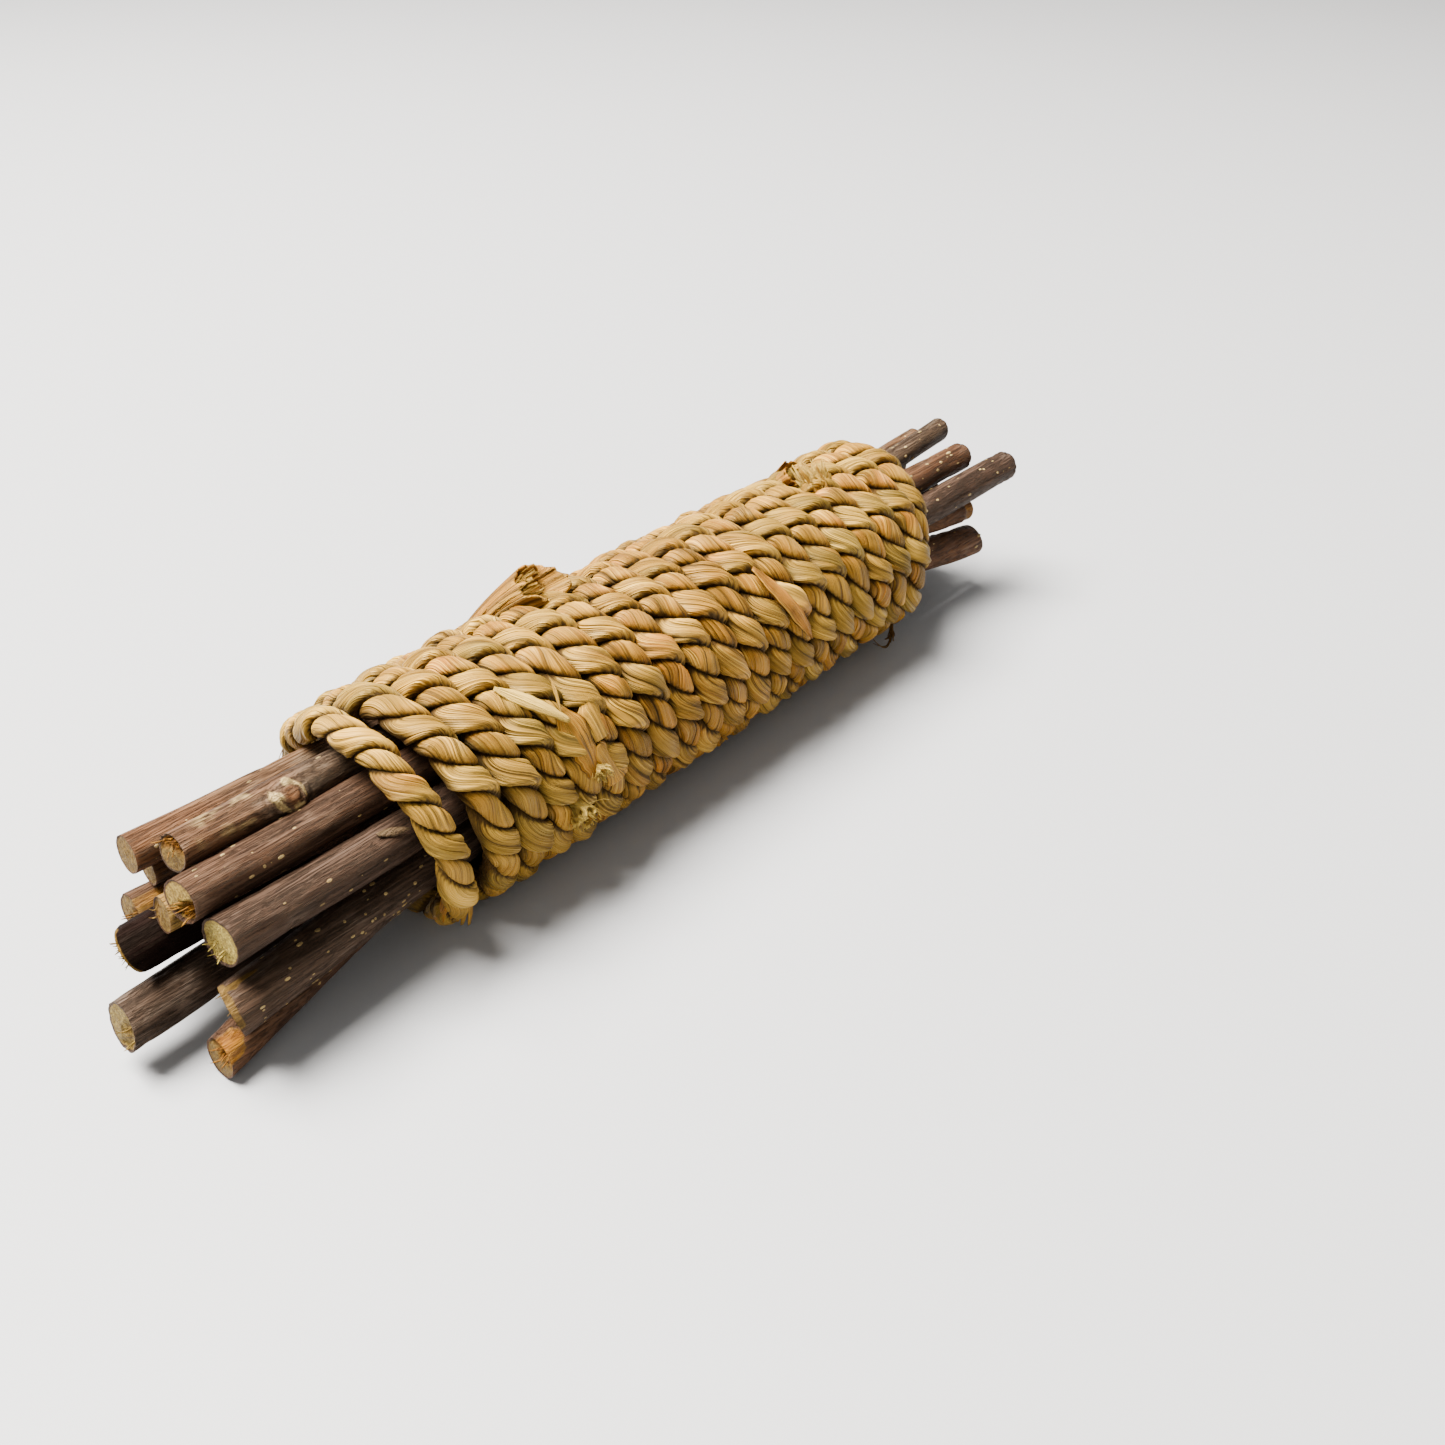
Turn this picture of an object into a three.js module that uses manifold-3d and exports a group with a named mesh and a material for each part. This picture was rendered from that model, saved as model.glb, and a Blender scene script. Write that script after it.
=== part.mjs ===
// A bundle of cut apple wood sticks, bound with turns of two-strand twisted seagrass rope.
// Millimetres. X runs along the bundle from its front to its back, Z is up, and the bundle lies on Z = 0.
import * as THREE from 'three';
import { mergeVertices } from 'three/addons/utils/BufferGeometryUtils.js';
import Module from 'manifold-3d';

// Driving dimensions of the binding
const ROPE_WIDTH = 5.15;          // across the two strands
const ROPE_WAIST = 3.5;           // across the groove between the strands
const TWIST_LENGTH = 8.7;         // rope length in which the strands go round once
const STEPS_PER_TWIST = 4.5;      // sections of rope in one twist
const TURN_RADIUS = 14.1;         // from the bundle's axis to the middle of the rope
const TURN_PITCH = 5.22;          // from one turn to the next
const TURNS = 20.65;              // turns in the whole winding
const FIRST_TURN_X = -52.5;       // where the first turn starts, on the far side
const WRAP_TAPER = 0.9;           // how much the radius falls from the first turn to the last
const FRONT_LEAN = 0.12;          // lean of the first turn to the front, for each millimetre of height
const BACK_LEAN = -0.06;          // lean of the last turn
const LOOSE_STEP = 2.0;           // how far the loose first turn lies ahead of an even winding
const LOOSE_RADIUS = 0.5;         // how far it stands off
const LOOSE_THIN = 0.2;           // share of its width that it lacks, as nothing presses it flat
const LOOSE_TURNS = 1.5;          // turns over which the winding tightens
const PRESSED_FLAT = 0.5;         // depth of rope pressed flat where the bundle lies
const END_TURNS = 0.45;           // turns over which the tucked end of the winding grows thin
const END_THIN = 0.5;             // share of its width that the end has lost
const END_PULL = 2.2;             // how far the thin end lies closer to the turn before it
const END_SINK = 1.0;             // and closer to the sticks

// Where each length of rope starts and ends, in turns from the first
const ROPES = [
  { name: 'front_rope', from: 0.07, to: 4.53 },
  { name: 'middle_rope', from: 4.56, to: 17.22 },
  { name: 'back_rope', from: 17.25, to: TURNS },
];

// The tail of the middle rope comes out between two turns and stands proud: place along X, radius, angle
const TAIL = [
  { x: -24.5, radius: 14.4, angle: 66 },
  { x: -21.0, radius: 17.3, angle: 68 },
  { x: -16.6, radius: 18.2, angle: 72 },
];
const TAIL_STEPS = 6;

// Driving dimensions of the sticks
const STICK_SIDES = 8;
const STICK_GAP = 0.34;           // left between neighbours
const STICK_TAPER = 0.13;         // share of the diameter lost from front to back
const CORE_RADIUS = 11.35;        // the round hole in the winding that the sticks fill
const STATIONS = [-72, -63, -53, -44, 0, 44, 55, 68];   // places along X where every stick has a section
const WRAPPED_REACH = 56;         // the winding holds the sticks this far each way from its middle
const SETTLE_ROUNDS = 600;        // rounds of pushing apart and pulling in until the sticks lie still
const STRAIGHTENING = 0.2;        // how far a stick straightens between rounds

// Each stick: diameter, its front end, its middle and its back end as x, y, z from the bundle's axis,
// and the slope of its two cuts across Y and Z
const STICKS = [
  { diameter: 4.6, front: [-80, 8.5, 6.9], middle: [6.2, 6.4], back: [78, 6.2, 7.8], cut: [0.05, 0.1] },
  { diameter: 4.5, front: [-78, 1.0, 9.9], middle: [1.6, 8.9], back: [79.5, 2.2, 10.4], cut: [-0.1, 0.2] },
  { diameter: 4.4, front: [-77.4, 10.3, 2.2], middle: [8.6, 1.8], back: [77, 8.6, 2.9], cut: [0.1, 0.05] },
  { diameter: 4.8, front: [-80.6, 10.8, -3.1], middle: [8.4, -3.2], back: [76, 8.8, -2.9], cut: [0.0, 0.1] },
  { diameter: 4.6, front: [-81, 1.1, 2.5], middle: [-1.8, 1.6], back: [76.5, -6.8, -1.4], cut: [0.1, 0.15] },
  { diameter: 5.3, front: [-80.5, -3.4, 6.8], middle: [-3.6, 7.9], back: [78, -3.7, 7.4], cut: [-0.1, 0.1] },
  { diameter: 6.0, front: [-84.3, 4.7, -2.8], middle: [2.6, -1.6], back: [79, 2.6, -1.9], cut: [0.05, 0.05] },
  { diameter: 5.8, front: [-79.3, -8.0, 2.5], middle: [-7.7, 3.3], back: [84, -9.5, 5.2], cut: [-0.1, 0.1] },
  { diameter: 6.0, front: [-89, 1.4, -9.6], middle: [3.5, -7.7], back: [73, 3.2, -8.7], cut: [0.05, 0.15] },
  { diameter: 6.2, front: [-80.6, -9.3, -6.5], middle: [-7.2, -4.4], back: [77.5, -8.6, -7.2], cut: [0.3, -0.25] },
  { diameter: 5.0, front: [-82.8, -7.9, -13.3], middle: [-2.6, -8.3], back: [74, -3.0, -9.4], cut: [0.0, 0.1] },
];

// The knot on the second stick: its place along the stick, its size and its way out of the bark
const KNOT = { stick: 1, x: -63.5, size: [3.2, 2.0, 2.1], out: [-0.8, 0.5], depth: 1.6 };

const wasm = await Module();
wasm.setup();

const barkMaterial = new THREE.MeshStandardMaterial({ color: 0x5a4038, roughness: 0.75, metalness: 0 });
const ropeMaterial = new THREE.MeshStandardMaterial({ color: 0xb8924f, roughness: 0.7, metalness: 0 });

function closedGeometry(positions, triangles) {
  const geometry = new THREE.BufferGeometry();
  geometry.setAttribute('position', new THREE.Float32BufferAttribute(positions, 3));
  geometry.setIndex(triangles);
  return geometry;
}

function toSolid(geometry) {
  const bare = geometry.clone();
  bare.deleteAttribute('normal');
  bare.deleteAttribute('uv');
  const merged = mergeVertices(bare, 1e-4);
  const vertProperties = new Float32Array(merged.attributes.position.array);
  const triVerts = new Uint32Array(merged.index.array);
  return new wasm.Manifold(new wasm.Mesh({ numProp: 3, vertProperties, triVerts }));
}

function toGeometry(solid) {
  const mesh = solid.getMesh();
  return closedGeometry(Array.from(mesh.vertProperties), Array.from(mesh.triVerts));
}

// Skins a row of equal rings of points and closes both ends. The rings run anticlockwise as seen
// looking back along the row.
function skinRings(rings) {
  const sides = rings[0].length;
  const positions = rings.flat().flatMap((point) => [point.x, point.y, point.z]);
  const triangles = [];
  const corner = (ring, side) => ring * sides + (side % sides);
  for (let ring = 0; ring < rings.length - 1; ring += 1) {
    for (let side = 0; side < sides; side += 1) {
      triangles.push(corner(ring, side), corner(ring, side + 1), corner(ring + 1, side + 1));
      triangles.push(corner(ring, side), corner(ring + 1, side + 1), corner(ring + 1, side));
    }
  }
  const last = rings.length - 1;
  for (let side = 1; side < sides - 1; side += 1) {
    triangles.push(corner(0, 0), corner(0, side + 1), corner(0, side));
    triangles.push(corner(last, 0), corner(last, side), corner(last, side + 1));
  }
  return closedGeometry(positions, triangles);
}

// How loose the winding still is, and how far its tucked end has begun, each from 0 to 1
function slackAt(turn) {
  return Math.exp(-turn / LOOSE_TURNS);
}

function endingAt(turn) {
  return THREE.MathUtils.smoothstep(turn, TURNS - END_TURNS, TURNS);
}

// The middle of the rope after a number of turns: a helix that leans, with a loose start and a tucked end
function turnPoint(turn) {
  const angle = 2 * Math.PI * turn;
  const wound = turn / TURNS;
  const loose = LOOSE_RADIUS * slackAt(turn) - END_SINK * endingAt(turn);
  const radius = TURN_RADIUS + WRAP_TAPER * (0.5 - wound) + loose;
  const height = radius * Math.sin(angle);
  const lean = THREE.MathUtils.lerp(FRONT_LEAN, BACK_LEAN, wound) * height;
  const shift = LOOSE_STEP * slackAt(turn) + END_PULL * endingAt(turn);
  const x = FIRST_TURN_X + TURN_PITCH * turn - shift - lean;
  return new THREE.Vector3(x, radius * Math.cos(angle), height);
}

// How full the rope is there, as a share of its width
function fullnessAt(turn) {
  return (1 - LOOSE_THIN * slackAt(turn)) * (1 - END_THIN * endingAt(turn));
}

// A twisted two-strand rope along a path: each section is a rhomb, long across the strands and short
// across the groove, and the sections turn to the left along the rope
function twistedRope(path, fullness, steps, firstTwist) {
  const rings = [];
  let twist = firstTwist;
  let previous = path(0);
  for (let step = 0; step <= steps; step += 1) {
    const here = path(step / steps);
    const ahead = path((step + 0.1) / steps).sub(path((step - 0.1) / steps)).normalize();
    const outward = new THREE.Vector3(0, here.y, here.z);
    outward.addScaledVector(ahead, -outward.dot(ahead)).normalize();
    const across = new THREE.Vector3().crossVectors(ahead, outward);
    twist -= (2 * Math.PI * here.distanceTo(previous)) / TWIST_LENGTH;
    previous = here;
    const ring = [ROPE_WIDTH, ROPE_WAIST, ROPE_WIDTH, ROPE_WAIST].map((width, side) => {
      const angle = twist + (side * Math.PI) / 2;
      const reach = (width / 2) * fullness(step / steps);
      const point = here.clone();
      point.addScaledVector(outward, reach * Math.cos(angle));
      return point.addScaledVector(across, reach * Math.sin(angle));
    });
    rings.push(ring);
  }
  return skinRings(rings);
}

function makeTail() {
  const points = TAIL.map(({ x, radius, angle }) => {
    const turned = THREE.MathUtils.degToRad(angle);
    return new THREE.Vector3(x, radius * Math.cos(turned), radius * Math.sin(turned));
  });
  const curve = new THREE.QuadraticBezierCurve3(...points);
  return toSolid(twistedRope((share) => curve.getPoint(share), () => 1, TAIL_STEPS, 0));
}

function makeRope({ name, from, to }) {
  const turnLength = Math.hypot(2 * Math.PI * TURN_RADIUS, TURN_PITCH);
  const steps = Math.round(((to - from) * turnLength * STEPS_PER_TWIST) / TWIST_LENGTH);
  const firstTwist = (-2 * Math.PI * from * turnLength) / TWIST_LENGTH;
  const turnAt = (share) => from + (to - from) * share;
  const path = (share) => turnPoint(turnAt(share));
  const fullness = (share) => fullnessAt(turnAt(share));
  let rope = toSolid(twistedRope(path, fullness, steps, firstTwist));
  if (name === 'middle_rope') {
    rope = rope.add(makeTail());
  }
  const wide = 4 * TURNS * TURN_PITCH;
  const deep = 2 * TURN_RADIUS;
  const slab = new THREE.BoxGeometry(wide, wide, deep);
  slab.translate(0, 0, -TURN_RADIUS - ROPE_WIDTH / 2 + PRESSED_FLAT - deep / 2);
  rope = rope.subtract(toSolid(slab));
  const mesh = new THREE.Mesh(toGeometry(rope), ropeMaterial.clone());
  mesh.name = name;
  return mesh;
}

// A smooth line through a stick's front end, middle and back end
function stickLine({ front, middle, back }, x) {
  const share = (x - front[0]) / (back[0] - front[0]);
  const toFront = (1 - share) * (1 - 2 * share);
  const toMiddle = 4 * share * (1 - share);
  const toBack = share * (2 * share - 1);
  return new THREE.Vector3(
    x,
    toFront * front[1] + toMiddle * middle[0] + toBack * back[1],
    toFront * front[2] + toMiddle * middle[1] + toBack * back[2],
  );
}

function stickRadius({ diameter, front, back }, x) {
  const share = (x - front[0]) / (back[0] - front[0]);
  return (diameter / 2) * (1 + STICK_TAPER * (0.5 - share));
}

// Lets the sticks settle: neighbours that are too close move apart, and the winding pulls in what lies
// outside its hole. Between rounds each stick straightens a little, as wood does.
function settleSticks() {
  const lines = STICKS.map((stick) => {
    const stations = STATIONS.map((x) => stickLine(stick, x));
    return [new THREE.Vector3(...stick.front), ...stations, new THREE.Vector3(...stick.back)];
  });
  for (let round = 0; round < SETTLE_ROUNDS; round += 1) {
    const straighten = round < SETTLE_ROUNDS / 2 ? STRAIGHTENING : 0;
    lines.forEach((line) => straightenLine(line, straighten));
    STATIONS.forEach((x, k) => settleStation(lines.map((line) => line[k + 1]), x));
  }
  return lines;
}

function straightenLine(line, share) {
  for (let k = 1; k < line.length - 1; k += 1) {
    const along = (line[k].x - line[k - 1].x) / (line[k + 1].x - line[k - 1].x);
    line[k].lerp(line[k - 1].clone().lerp(line[k + 1], along), share);
  }
}

function settleStation(centres, x) {
  const radii = STICKS.map((stick) => stickRadius(stick, x));
  for (let a = 0; a < centres.length; a += 1) {
    for (let b = 0; b < a; b += 1) {
      const apart = centres[a].clone().sub(centres[b]);
      const push = Math.max(0, radii[a] + radii[b] + STICK_GAP - apart.length()) / 2;
      apart.normalize();
      centres[a].addScaledVector(apart, push);
      centres[b].addScaledVector(apart, -push);
    }
  }
  if (Math.abs(x) < WRAPPED_REACH) {
    const room = CORE_RADIUS - (WRAP_TAPER * x) / (TURNS * TURN_PITCH) + (x < FIRST_TURN_X ? LOOSE_RADIUS : 0);
    centres.forEach((centre, a) => {
      const pull = Math.min(1, (room - radii[a]) / Math.hypot(centre.y, centre.z));
      centre.y *= pull;
      centre.z *= pull;
    });
  }
}

function makeStick(stick, line, index) {
  const rings = line.map((centre, k) => {
    const isEnd = k === 0 || k === line.length - 1;
    const radius = stickRadius(stick, centre.x);
    return Array.from({ length: STICK_SIDES }, (_, side) => {
      const angle = (2 * Math.PI * side) / STICK_SIDES;
      const y = radius * Math.cos(angle);
      const z = radius * Math.sin(angle);
      const slant = isEnd ? stick.cut[0] * y + stick.cut[1] * z : 0;
      return new THREE.Vector3(centre.x + slant, centre.y + y, centre.z + z);
    });
  });
  let geometry = skinRings(rings);
  if (index === KNOT.stick) {
    geometry = toGeometry(toSolid(geometry).add(makeKnot(line)));
  }
  const mesh = new THREE.Mesh(geometry, barkMaterial.clone());
  mesh.name = `stick_${index + 1}`;
  return mesh;
}

function makeKnot(line) {
  const next = line.findIndex((centre) => centre.x > KNOT.x);
  const share = (KNOT.x - line[next - 1].x) / (line[next].x - line[next - 1].x);
  const centre = line[next - 1].clone().lerp(line[next], share);
  const knot = new THREE.SphereGeometry(1, 10, 6);
  knot.scale(...KNOT.size);
  knot.translate(centre.x, centre.y + KNOT.out[0] * KNOT.depth, centre.z + KNOT.out[1] * KNOT.depth);
  return toSolid(knot);
}

const settled = settleSticks();
const bundle = new THREE.Group();
STICKS.forEach((stick, index) => bundle.add(makeStick(stick, settled[index], index)));
ROPES.forEach((rope) => bundle.add(makeRope(rope)));

// The origin is under the middle of the whole bundle, on the surface that it lies on
const box = new THREE.Box3().setFromObject(bundle);
bundle.position.set(-(box.min.x + box.max.x) / 2, -(box.min.y + box.max.y) / 2, -box.min.z);
const part = new THREE.Group();
part.add(bundle);

export default part;
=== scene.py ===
# %% [markdown]
# # A bundle of apple wood sticks bound with seagrass rope
# The bundle is eleven cut twigs held together by about twenty turns of a two-strand rope. The solids of
# the frame give where each stick and each turn lies. This lesson dresses them: the rope gets its two
# strands with their folded blades, the sticks get bark, breathing pores, a knot and torn ends.
# Every piece is a surface worked out as whole numpy arrays, mostly a profile carried along a path.

import bpy
import numpy as np
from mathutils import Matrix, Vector


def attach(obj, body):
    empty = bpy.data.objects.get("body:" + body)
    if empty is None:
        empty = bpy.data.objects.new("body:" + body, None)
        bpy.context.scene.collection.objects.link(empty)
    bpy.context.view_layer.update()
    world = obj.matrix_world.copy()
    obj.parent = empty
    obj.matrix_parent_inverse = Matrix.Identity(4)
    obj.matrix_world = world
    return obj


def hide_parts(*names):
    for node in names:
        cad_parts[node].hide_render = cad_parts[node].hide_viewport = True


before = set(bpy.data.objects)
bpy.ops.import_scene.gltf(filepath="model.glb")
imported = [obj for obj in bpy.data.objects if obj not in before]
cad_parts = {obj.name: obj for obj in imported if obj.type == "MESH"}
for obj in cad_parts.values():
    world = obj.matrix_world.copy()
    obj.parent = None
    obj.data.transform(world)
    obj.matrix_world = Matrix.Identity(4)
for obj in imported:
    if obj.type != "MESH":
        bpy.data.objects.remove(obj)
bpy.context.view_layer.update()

# %% [markdown]
# ## Measures
# All lengths below are in millimetres, counted from the bundle's own axis at the middle of the winding:
# X runs along the sticks from the front to the back, Z is up. One vector carries a point from there into
# the frame, where the bundle lies on Z = 0. Keeping one set of axes means that nothing has to be fitted.

# %% The bundle's axis
MM = 0.001
AXIS = np.array([2.548, -0.025, 16.175])
FLOOR_Z = 0.02  # no point of the dressed bundle lies lower
print("axis at", AXIS * MM)

# %% [markdown]
# ## Smooth chance
# Nothing that grew or was wound by hand is even. Blender has noise nodes for a finish, but a shape needs its
# unevenness in the points. Random knots joined by smooth steps give that as one array, along a line or
# round a tube, and a seed makes every run the same.

# %% Two kinds of smooth chance
LINE_KNOTS, LINE_START = 1024, 300
TUBE_KNOTS, TUBE_START = 256, 100


def smooth(share):
    """From 0 to 1 with a level start and end: three squares less two cubes."""
    return share * share * (3 - 2 * share)


def ease(value, low, high):
    """0 below low, 1 above high, and a smooth step between."""
    return smooth(np.clip((value - low) / (high - low), 0, 1))


def wander(along, step, seed):
    """Random knots every `step` along a line, joined by smooth steps: values from -1 to 1."""
    knots = np.random.default_rng(seed).uniform(-1, 1, LINE_KNOTS)
    place = np.asarray(along) / step + LINE_START
    low = np.floor(place).astype(int)
    share = smooth(place - low)
    return knots[low % LINE_KNOTS] * (1 - share) + knots[(low + 1) % LINE_KNOTS] * share


def ripple(turn, along, count, step, seed):
    """The same on a tube: `count` random knots round it, a new ring of them every `step` along it."""
    knots = np.random.default_rng(seed).uniform(-1, 1, (count, TUBE_KNOTS))
    u, v = np.broadcast_arrays(turn * count, along / step + TUBE_START)
    i, j = np.floor(u).astype(int), np.floor(v).astype(int)
    a, b = smooth(u - i), smooth(v - j)
    i_next, j, j_next = (i + 1) % count, j % TUBE_KNOTS, (j + 1) % TUBE_KNOTS
    near = knots[i % count, j] * (1 - a) + knots[i_next, j] * a
    far = knots[i % count, j_next] * (1 - a) + knots[i_next, j_next] * a
    return near * (1 - b) + far * b


trial = wander(np.arange(50), 3, 1)
print("a line wanders between", np.round([trial.min(), trial.max()], 2))

# %% [markdown]
# ## From rings to a mesh
# A twig, a strand, a blade and a fibre are all the same kind of surface: a row of closed rings. A grid of
# points (how many, rings, points in a ring) is enough to write all the faces by counting, so no loop goes
# over vertices. Each ring runs anticlockwise round the way of travel, which turns the faces outwards.

# %% Skin rows of rings
def skin(grid, uv=None, **marks):
    """Rows of rings with their numbers: uv has one more column than a ring, marks have one value a point."""
    rows, rings, points = grid.shape[:3]
    if uv is None:
        uv = np.zeros((rows, rings, points + 1, 2))
    return {"grid": grid, "uv": np.broadcast_to(uv, (rows, rings, points + 1, 2)), "marks": marks}


def tube(grid, uv, marks):
    """One row of rings whose last point repeats the first: only the map keeps the repeat."""
    marks = {mark: value[None, :, :-1] for mark, value in marks.items()}
    return skin(grid[None, :, :-1], uv[None], **marks)


def faces(part, first):
    """Corners, corner counts and map places: quads between neighbouring rings, a flat lid on each end."""
    rows, rings, points = part["grid"].shape[:3]
    k, i = np.arange(points), np.arange(rings - 1)[:, None]
    ahead = (k + 1) % points
    here, above = i * points, (i + 1) * points
    cell = np.stack([here + k, here + ahead, above + ahead, above + k], -1)
    start = first + np.arange(rows) * rings * points
    quads = start[:, None, None, None] + cell
    lids = np.concatenate([start[:, None] + k[::-1], start[:, None] + (rings - 1) * points + k])
    uv = part["uv"]
    uv_quads = np.stack([uv[:, :-1, :-1], uv[:, :-1, 1:], uv[:, 1:, 1:], uv[:, 1:, :-1]], 3)
    uv_lids = np.concatenate([uv[:, 0, :-1][:, ::-1], uv[:, -1, :-1]])
    corners = np.concatenate([quads.ravel(), lids.ravel()])
    sizes = np.repeat([4, points], [quads.size // 4, len(lids)])
    return corners, sizes, np.concatenate([uv_quads.reshape(-1, 2), uv_lids.reshape(-1, 2)])


one_ring_pair = skin(np.zeros((1, 2, 6, 3)))
print("two rings of six points make", len(faces(one_ring_pair, 0)[1]), "faces")

# %% [markdown]
# ## A piece of the bundle
# A piece joins its skins in one mesh, so that a rope's hundreds of hairs are still one thing to pick up.
# Building it through an operator would be slow; foreach_set hands Blender each array whole. The map "along"
# and the marks go with the mesh, for the finish to read. The piece then rides on the bundle's one body and
# takes the place of the plain solid that it dresses.

# %% Put skins in a mesh
def make_piece(name, skins, material, node):
    """All the skins as one smooth mesh with its map and marks, in place of a node of the frame."""
    firsts = np.cumsum([0] + [part["grid"].size // 3 for part in skins[:-1]])
    corners, sizes, uvs = [np.concatenate(rows) for rows in zip(*map(faces, skins, firsts))]
    spots = (np.concatenate([part["grid"].reshape(-1, 3) for part in skins]) + AXIS) * MM
    spots[:, 2] = np.maximum(spots[:, 2], FLOOR_Z * MM)
    mesh = bpy.data.meshes.new(name)
    mesh.vertices.add(len(spots))
    mesh.vertices.foreach_set("co", spots.ravel())
    mesh.loops.add(len(corners))
    mesh.loops.foreach_set("vertex_index", corners.astype(np.int32))
    mesh.polygons.add(len(sizes))
    mesh.polygons.foreach_set("loop_start", (np.cumsum(sizes) - sizes).astype(np.int32))
    mesh.polygons.foreach_set("use_smooth", np.ones(len(sizes), bool))
    mesh.update(calc_edges=True)
    mesh.uv_layers.new(name="along").data.foreach_set("uv", uvs.ravel().astype(np.float32))
    for mark in sorted({key for part in skins for key in part["marks"]}):
        rows = [np.broadcast_to(part["marks"].get(mark, 0.0), part["grid"].shape[:3]) for part in skins]
        values = np.concatenate([row.ravel() for row in rows])
        mesh.attributes.new(mark, "FLOAT", "POINT").data.foreach_set("value", values.astype(np.float32))
    mesh.materials.append(material)
    piece = bpy.data.objects.new(name, mesh)
    bpy.context.collection.objects.link(piece)
    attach(piece, "root")
    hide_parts(node)
    print(name, int((sizes - 2).sum()), "triangles")


print("pieces are in metres, so", MM, "m is one unit of the sums")

# %% [markdown]
# ## Shader sums
# A material is easier to read as sums than as boxes and wires. This small class holds one socket. A sum
# of two of them adds a Math node, and every other node comes from one method.

# %% A socket that can be added and multiplied
class Tone:
    """One socket of a material's nodes. Sums of values become Math nodes."""

    def __init__(self, tree, socket=None):
        self.tree = tree
        self.socket = socket

    def node(self, kind, settings=None, sockets=None, out=0):
        """Adds a node: its settings are set first, then its sockets get values or links."""
        made = self.tree.nodes.new(kind)
        for key, value in (settings or {}).items():
            if key == "stops":
                ramp = made.color_ramp
                while len(ramp.elements) < len(value):
                    ramp.elements.new(0.5)
                for stop, (place, colour) in zip(ramp.elements, value):
                    stop.position = place
                    stop.color = (*colour, 1)
            else:
                setattr(made, key, value)
        for key, value in (sockets or {}).items():
            if isinstance(value, Tone):
                self.tree.links.new(value.socket, made.inputs[key])
            else:
                made.inputs[key].default_value = value
        return Tone(self.tree, made.outputs[out])

    def maths(self, operation, a, b=0.0):
        return self.node("ShaderNodeMath", {"operation": operation}, {0: a, 1: b})

    def __add__(self, other):
        return self.maths("ADD", self, other)

    def __sub__(self, other):
        return self.maths("SUBTRACT", self, other)

    def __rsub__(self, other):
        return self.maths("SUBTRACT", other, self)

    def __mul__(self, other):
        return self.maths("MULTIPLY", self, other)

    __radd__ = __add__
    __rmul__ = __mul__

    def between(self, low, high):
        """0 below low, 1 above high, and a smooth step between."""
        settings = {"interpolation_type": "SMOOTHSTEP"}
        return self.node("ShaderNodeMapRange", settings, {0: self, 1: low, 2: high, 3: 0.0, 4: 1.0})

    def mix(self, a, b):
        """Colour a where this value is 0 and colour b where it is 1."""
        a, b = [c if isinstance(c, Tone) else (*c, 1) for c in (a, b)]
        return self.node("ShaderNodeMix", {"data_type": "RGBA"}, {0: self, 6: a, 7: b}, out=2)

    def scaled(self, x, y, z):
        """This vector with its three parts scaled."""
        return self.node("ShaderNodeVectorMath", {"operation": "MULTIPLY"}, {0: self, 1: (x, y, z)})

    def noise(self, detail=2.0, roughness=0.5):
        """Smooth noise at this place, about 0.5."""
        sockets = {"Vector": self, "Scale": 1.0, "Detail": detail, "Roughness": roughness}
        return self.node("ShaderNodeTexNoise", {}, sockets)

    def mark(self, name):
        """A number that the mesh holds at its points."""
        return self.node("ShaderNodeAttribute", {"attribute_name": name}, out=2)


def new_material(name):
    """A material with only its output, the nodes' wrapper, and the output node."""
    material = bpy.data.materials.new(name)
    material.use_nodes = True
    tree = material.node_tree
    tree.nodes.clear()
    return material, Tone(tree), tree.nodes.new("ShaderNodeOutputMaterial")


def finish_material(tone, output, colour, roughness, height, depth, fixed):
    """A Principled surface with a bump of the given height and depth in metres."""
    bump = tone.node("ShaderNodeBump", {}, {"Strength": 1.0, "Distance": depth, "Height": height})
    sockets = {"Base Color": colour, "Roughness": roughness, "Normal": bump, **fixed}
    surface = tone.node("ShaderNodeBsdfPrincipled", {}, sockets)
    tone.tree.links.new(surface.socket, output.inputs["Surface"])


print("shader sums ready")

# %% [markdown]
# ## The camera
# The view follows the photograph: it looks down on the bundle from its front left, close enough for the
# front ends to look larger than the back ones. The lens is given in pixels of the picture, as it was
# measured, and turned into millimetres of a usual sensor. The view goes through the middle of the
# picture, so no shift is needed.

# %% Place the camera
CAMERA_FROM = np.array([-134.03, -129.79, 115.06])
CAMERA_WAY = Vector((0.6263, 0.5387, -0.5635))
SENSOR_WIDTH, LENS_PIXELS, PICTURE_PIXELS = 36, 1449, 1445
camera_data = bpy.data.cameras.new("camera")
camera_data.sensor_width = SENSOR_WIDTH
camera_data.lens = SENSOR_WIDTH * LENS_PIXELS / PICTURE_PIXELS
camera_data.clip_start = 0.01
camera = bpy.data.objects.new("camera", camera_data)
camera.location = (CAMERA_FROM + AXIS) * MM
camera.rotation_euler = CAMERA_WAY.to_track_quat("-Z", "Y").to_euler()
bpy.context.collection.objects.link(camera)
bpy.context.scene.camera = camera
print("camera at", np.round(camera.location, 4))

# %% [markdown]
# ## The floor
# A pale sheet lies under the bundle. It is part of the stage, not of the bundle, so it is one wide face
# with a plain finish.

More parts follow.
